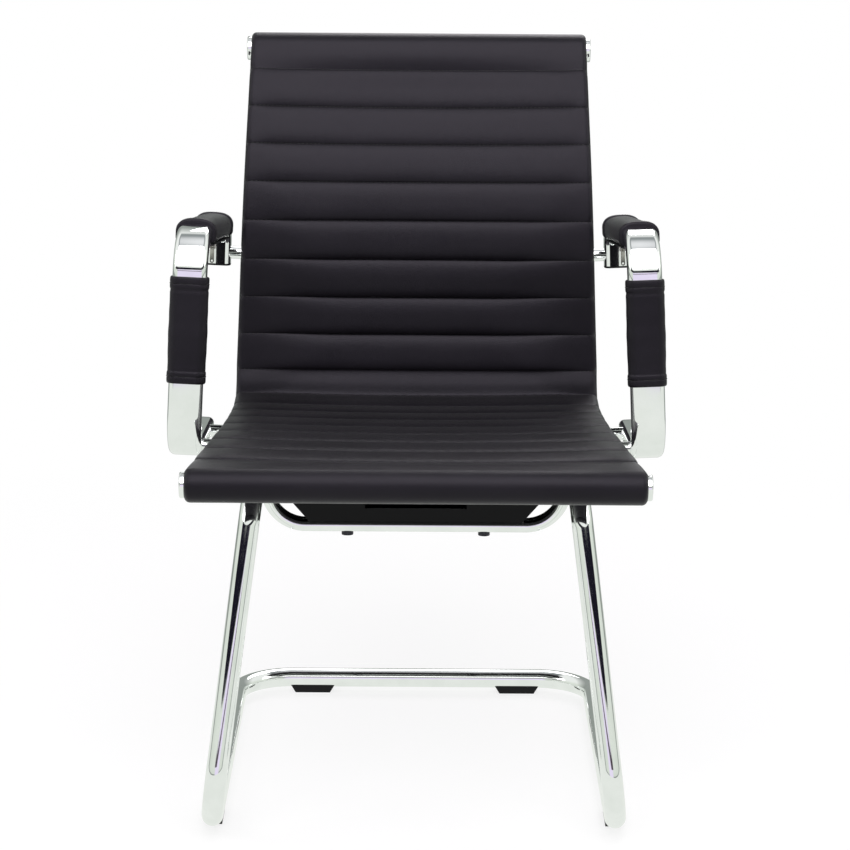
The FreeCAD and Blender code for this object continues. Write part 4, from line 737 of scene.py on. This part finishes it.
def beside(points, sign):
    """Points drawn in the arm's own plane, leaned in by b = 2.2 degrees about its lower run,
    (x cos b + z sin b, y, z cos b - x sin b), turned in by a = 1.7 degrees, (x cos a + y sin a,
    y cos a - x sin a, z), and set at (-273, -134) mm on the left or mirrored on the right."""
    x, y, z = np.moveaxis(np.asarray(points, float), -1, 0)
    z = z - arm_z
    x, z = x * math.cos(arm_lean) + z * math.sin(arm_lean), z * math.cos(arm_lean) - x * math.sin(arm_lean)
    x, y = x * math.cos(arm_toe) + y * math.sin(arm_toe), y * math.cos(arm_toe) - x * math.sin(arm_toe)
    return np.stack([-sign * (x - arm_x), y + arm_y, z + arm_z], -1)


post_top = (arm_top - arm_z) * math.tan(math.radians(6.0))
fall = math.tan(math.radians(6.8))
arm_corners = np.array([(0, 0.157, arm_z), (0, 0, arm_z), (0, post_top, arm_top),
                        (0, arm_rear, arm_top - (arm_rear - post_top) * fall), (0, arm_rear, 0.600)])
arm_line = bent(arm_corners, [0.042, 0.046, 0.024], 2.5)
arm_points, arm_faces = pipe(arm_line, arm_wide, arm_thick, arm_wall, (1, 0, 0), arm_edge, 64)
for side, sign in hands:
    arm = piece("arm_loop_" + side, [(beside(arm_points, sign), arm_faces)], "chair", chrome)
    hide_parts("arm_tube_" + side)

# Arm fittings: turned and chromed spacers between arm and rail, and a black snap-in button
# over each bolt's access hole in the outer face of the arm.
dress(chrome, "arm_spacer_upper_left", "arm_spacer_upper_right", "arm_spacers_lower_left",
      "arm_spacers_lower_right")
button_profile = [(-0.003, 0.0066), (0.0, 0.0068), (0.0001, 0.0082), (0.0005, 0.0086), (0.0010, 0.0082),
                  (0.0014, 0.0060), (0.0016, 0.0030), (0.0016, 0.0002)]
for side, sign in hands:
    shells = []
    for y, z in ((0.052, arm_z), (0.128, arm_z), (arm_rear, 0.614)):
        middle = beside((-arm_wide / 2, y, z), sign)
        outward = middle - beside((-arm_wide / 4, y, z), sign)
        shells.append(lathed(button_profile, middle, outward, 40))
    piece("bolt_buttons_" + side, shells, "chair", nylon)

# Arm sleeves: a strip of the leather sewn round each post, its top and bottom turned in as
# a 14 mm hem with a row of stitches.
post_way = (arm_corners[2] - arm_corners[1]) / np.linalg.norm(arm_corners[2] - arm_corners[1])
post_up = np.cross(post_way, (1.0, 0.0, 0.0))
sleeve_from = arm_corners[1] + post_way * ((0.511 - arm_z) / post_way[2])
sleeve_long, sleeve_seam, hem_thread = 0.125, 0.0084, 0.0004


def post_rings(d, grow):
    """Rings round the post at the ways d up the sleeve: the tube's outline with softer, 8.5 mm
    corners, grown by grow[i] at d[i]."""
    rings = np.stack([oval(arm_wide + 2 * e, arm_thick + 2 * e, 0.0085 + e, 72) for e in grow])
    line = sleeve_from + np.asarray(d)[:, None] * post_way
    return line[:, None] + rings[..., :1] * np.array([1.0, 0.0, 0.0]) + rings[..., 1:] * post_up


def hem_stitches(on, off, share, shortest, corners):
    """Stitches round a hem: from each of the first corners of the ring on, share of the way to
    the next corner, where that is longer than shortest, standing out towards the ring off."""
    along = share * (np.roll(on, -1, axis=0) - on)
    kept = (np.linalg.norm(along, axis=1) > shortest) & (np.arange(len(on)) < corners)
    out = (off - on)[kept]
    out /= np.linalg.norm(out, axis=1)[:, None]
    return stitches(on[kept], (on + along)[kept], out, hem_thread)


edge_way = np.array([0.0, 0.0, 0.0003, 0.0010, 0.0022, 0.0040, 0.0062, 0.0080, 0.0084, 0.0089, 0.0095,
                     0.0118, 0.0134, 0.0142, 0.0152, 0.0170])
edge_grow = np.array([0.0002, 0.0012, 0.0019, 0.0025, 0.0028, 0.0029, 0.0029, 0.0027, 0.0025, 0.0027,
                      0.0029, 0.0029, 0.0027, 0.0023, 0.0021, 0.0022])
inner_from = 0.0185
inner_way = np.linspace(inner_from, sleeve_long - inner_from, 44)
ripple = 0.00025 * np.sin(inner_way * 190) * np.sin(inner_way * 71)
swell = 0.0004 * np.sin(np.pi * (inner_way - inner_from) / (sleeve_long - 2 * inner_from))
d = np.concatenate([edge_way, inner_way, sleeve_long - edge_way[::-1]])
grow = np.concatenate([edge_grow, 0.0023 + ripple + swell, edge_grow[::-1]])
for side, sign in hands:
    sleeve = piece("post_sleeve_" + side, [closed_tube(beside(post_rings(d, grow), sign))],
                   "chair", leather, 60.0)
    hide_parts("arm_sleeve_" + side)
    rows = []
    for way in (sleeve_seam, sleeve_long - sleeve_seam):
        on, off = beside(post_rings([way, way], [0.0026, 0.0036]), sign)
        rows.append(hem_stitches(on, off, 0.72, 0.00015, 72))
    piece("sleeve_stitching_" + side, rows, "chair", thread)

# Arm pads: foam on top of the arm tube, wrapped in leather and plumped up by the foam. Both
# ends are turned in as a sewn hem, and the wrapping is zipped shut underneath.
top_way = (arm_corners[3] - arm_corners[2]) / np.linalg.norm(arm_corners[3] - arm_corners[2])
top_up = np.cross((1, 0, 0), top_way)
pad_from = arm_corners[2] + top_way * 0.048
pad_long, pad_seam, pad_cap = 0.228, 0.0096, 0.0022
voxel, pressure, cloth_frames = 0.004, 4.0, 20


def pad_rings(d, grow):
    """Rings of the pad at the ways d along the arm, grown by grow[i]: with t once round, across
    it is half * sign(cos t) |cos t|^0.72; above the tube it is 2 mm + (high - 2 mm)
    |sin t|^0.92 and below it 2 mm - 14.4 mm |sin t|^0.3."""
    t = np.linspace(0, 2 * math.pi, 72, endpoint=False)
    half, high = 0.0230 + np.asarray(grow), 0.0168 + np.asarray(grow)
    cos_t, sin_t = np.cos(t), np.sin(t)
    pad_x = half[:, None] * np.sign(cos_t) * np.abs(cos_t) ** 0.72
    over = 0.002 + (high[:, None] - 0.002) * np.abs(sin_t) ** 0.92
    under = 0.002 - 0.0144 * np.abs(sin_t) ** 0.3
    pad_z = np.where(sin_t > 0, over, under)
    line = pad_from + np.asarray(d)[:, None] * top_way
    return line[:, None] + pad_x[..., None] * np.array([1.0, 0.0, 0.0]) + pad_z[..., None] * top_up


def corners_of(mesh):
    """The (n, 3) array of a mesh's vertices."""
    spots = np.empty(len(mesh.vertices) * 3)
    mesh.vertices.foreach_get("co", spots)
    return spots.reshape(-1, 3)


def made_real(blank):
    """The mesh that an object's modifiers give, as data of its own."""
    return bpy.data.meshes.new_from_object(blank.evaluated_get(bpy.context.evaluated_depsgraph_get()))


def plumped(shell, held, cap):
    """The shell blown up as cloth: remeshed to 4 mm, run for 20 frames at a pressure of 4 with
    no gravity, with the points of weight held kept still, each point moved at most cap, and
    subdivided once."""
    points, groups = shell
    mesh = bpy.data.meshes.new("blank")
    mesh.from_pydata(points.tolist(), [], [face for group in groups for face in np.asarray(group).tolist()])
    blank = bpy.data.objects.new("blank", mesh)
    bpy.context.scene.collection.objects.link(blank)
    evened = blank.modifiers.new("even", "REMESH")
    evened.mode = "VOXEL"
    evened.voxel_size = voxel
    even = made_real(blank)
    blank.modifiers.clear()
    blank.data = even
    start = corners_of(even)
    still = blank.vertex_groups.new(name="held")
    for weight in (0.25, 0.5, 0.75, 1.0):
        picked = np.flatnonzero(held(start) >= weight)
        still.add(picked.tolist(), weight, "REPLACE")
    cloth = blank.modifiers.new("cloth", "CLOTH")
    cloth.settings.use_pressure = True
    cloth.settings.uniform_pressure_force = pressure
    cloth.settings.effector_weights.gravity = 0.0
    cloth.settings.vertex_group_mass = "held"
    cloth.point_cache.frame_start = 1
    cloth.point_cache.frame_end = cloth_frames
    for frame_number in range(1, cloth_frames + 1):
        bpy.context.scene.frame_set(frame_number)
    move = corners_of(made_real(blank)) - start
    length = np.linalg.norm(move, axis=1)[:, None]
    blank.modifiers.clear()
    even.vertices.foreach_set("co", (start + move * np.minimum(1.0, cap / np.maximum(length, 1e-9))).ravel())
    finer = blank.modifiers.new("finer", "SUBSURF")
    finer.levels = finer.render_levels = 1
    done = made_real(blank)
    faces = np.array([list(face.vertices) for face in done.polygons])
    bpy.data.objects.remove(blank)
    bpy.context.scene.frame_set(1)
    return corners_of(done), [faces]


def pad_held(points):
    """1 where the pad rests on the tube or is sewn at its ends, easing to 0 over 6 mm above the
    tube and over 8 mm from 10 mm inside each end."""
    off = points - pad_from
    d = off @ top_way
    sewn = 1 - ease((np.minimum(d, pad_long - d) - 0.010) / 0.008)
    rest = 1 - ease((off @ top_up + 0.0105) / 0.006)
    return np.maximum(sewn, rest)


d = np.concatenate([[0.0], np.linspace(0.0, pad_long, 60), [pad_long]])
blank_rings = pad_rings(d, np.full(len(d), -0.0004))
blank_rings[0] = pad_from + (blank_rings[0] - pad_from) * 0.8
blank_rings[-1] = blank_rings[-1].mean(0) + (blank_rings[-1] - blank_rings[-1].mean(0)) * 0.8
pad_points, pad_faces = closed_tube(blank_rings)
pad_points, pad_faces = plumped((pad_points, pad_faces), pad_held, pad_cap)
hem_way = np.array([-0.0004, 0.0, 0.0012, 0.0060, 0.0092, 0.0096, 0.0102, 0.0128, 0.0138, 0.0142])
hem_grow = np.array([-0.0022, 0.0002, 0.0009, 0.0011, 0.0009, 0.0006, 0.0009, 0.0010, 0.0004, -0.0022])
for side, sign in hands:
    pad = piece("arm_cushion_" + side, [(beside(pad_points, sign), pad_faces)],
                "chair", leather, 60.0)
    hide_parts("arm_pad_" + side)
    hems = [closed_tube(beside(pad_rings(way, high), sign))
            for way, high in ((hem_way, hem_grow), (pad_long - hem_way[::-1], hem_grow[::-1]))]
    piece("cushion_hems_" + side, hems, "chair", leather, 60.0)
    rows = []
    for way in (pad_seam, pad_long - pad_seam):
        on, off = beside(pad_rings([way, way], [0.0007, 0.0017]), sign)
        rows.append(hem_stitches(on, off, 0.7, 0.0004, 36))
    piece("cushion_stitching_" + side, rows, "chair", thread)

# Zips: a coil zip under each pad closes its wrapping, with a die-cast slider and pull that
# are plated with nickel.

# Nylon coil: teeth every 1.5 mm along the run read as fine light and dark bars.
coil, tree, shader, where = new_finish("black_zip_coil")
teeth = node(tree, "ShaderNodeTexWave", {"Vector": where, "Scale": 210.0}, bands_direction="Y").outputs["Fac"]
tone = node(tree, "ShaderNodeValToRGB", {0: teeth}, [(0.3, "#0b0b0c"), (0.7, "#2a2a2d")]).outputs[0]
bump = node(tree, "ShaderNodeBump", {"Height": teeth, "Strength": 0.6, "Distance": 0.0004}).outputs[0]
feed(tree, shader, {"Base Color": tone, "Roughness": 0.5, "Normal": bump})
dress(coil, "zip_chain_left", "zip_chain_right")

# Zinc under bright nickel is warmer and softer than the chrome, uneven over 1 to 2 mm.
nickel, tree, shader, where = new_finish("nickel_plated_zinc")
cast = node(tree, "ShaderNodeTexNoise", {"Vector": where, "Scale": 700.0, "Detail": 3.0}).outputs["Fac"]
tone = node(tree, "ShaderNodeValToRGB", {0: cast}, [(0.3, "#c8c5bd"), (0.7, "#dcd9d2")]).outputs[0]
feed(tree, shader, {"Metallic": 1.0, "Base Color": tone, "Roughness": 0.2})
dress(nickel, "zip_slider_left", "zip_slider_right", "zip_pull_left", "zip_pull_right")
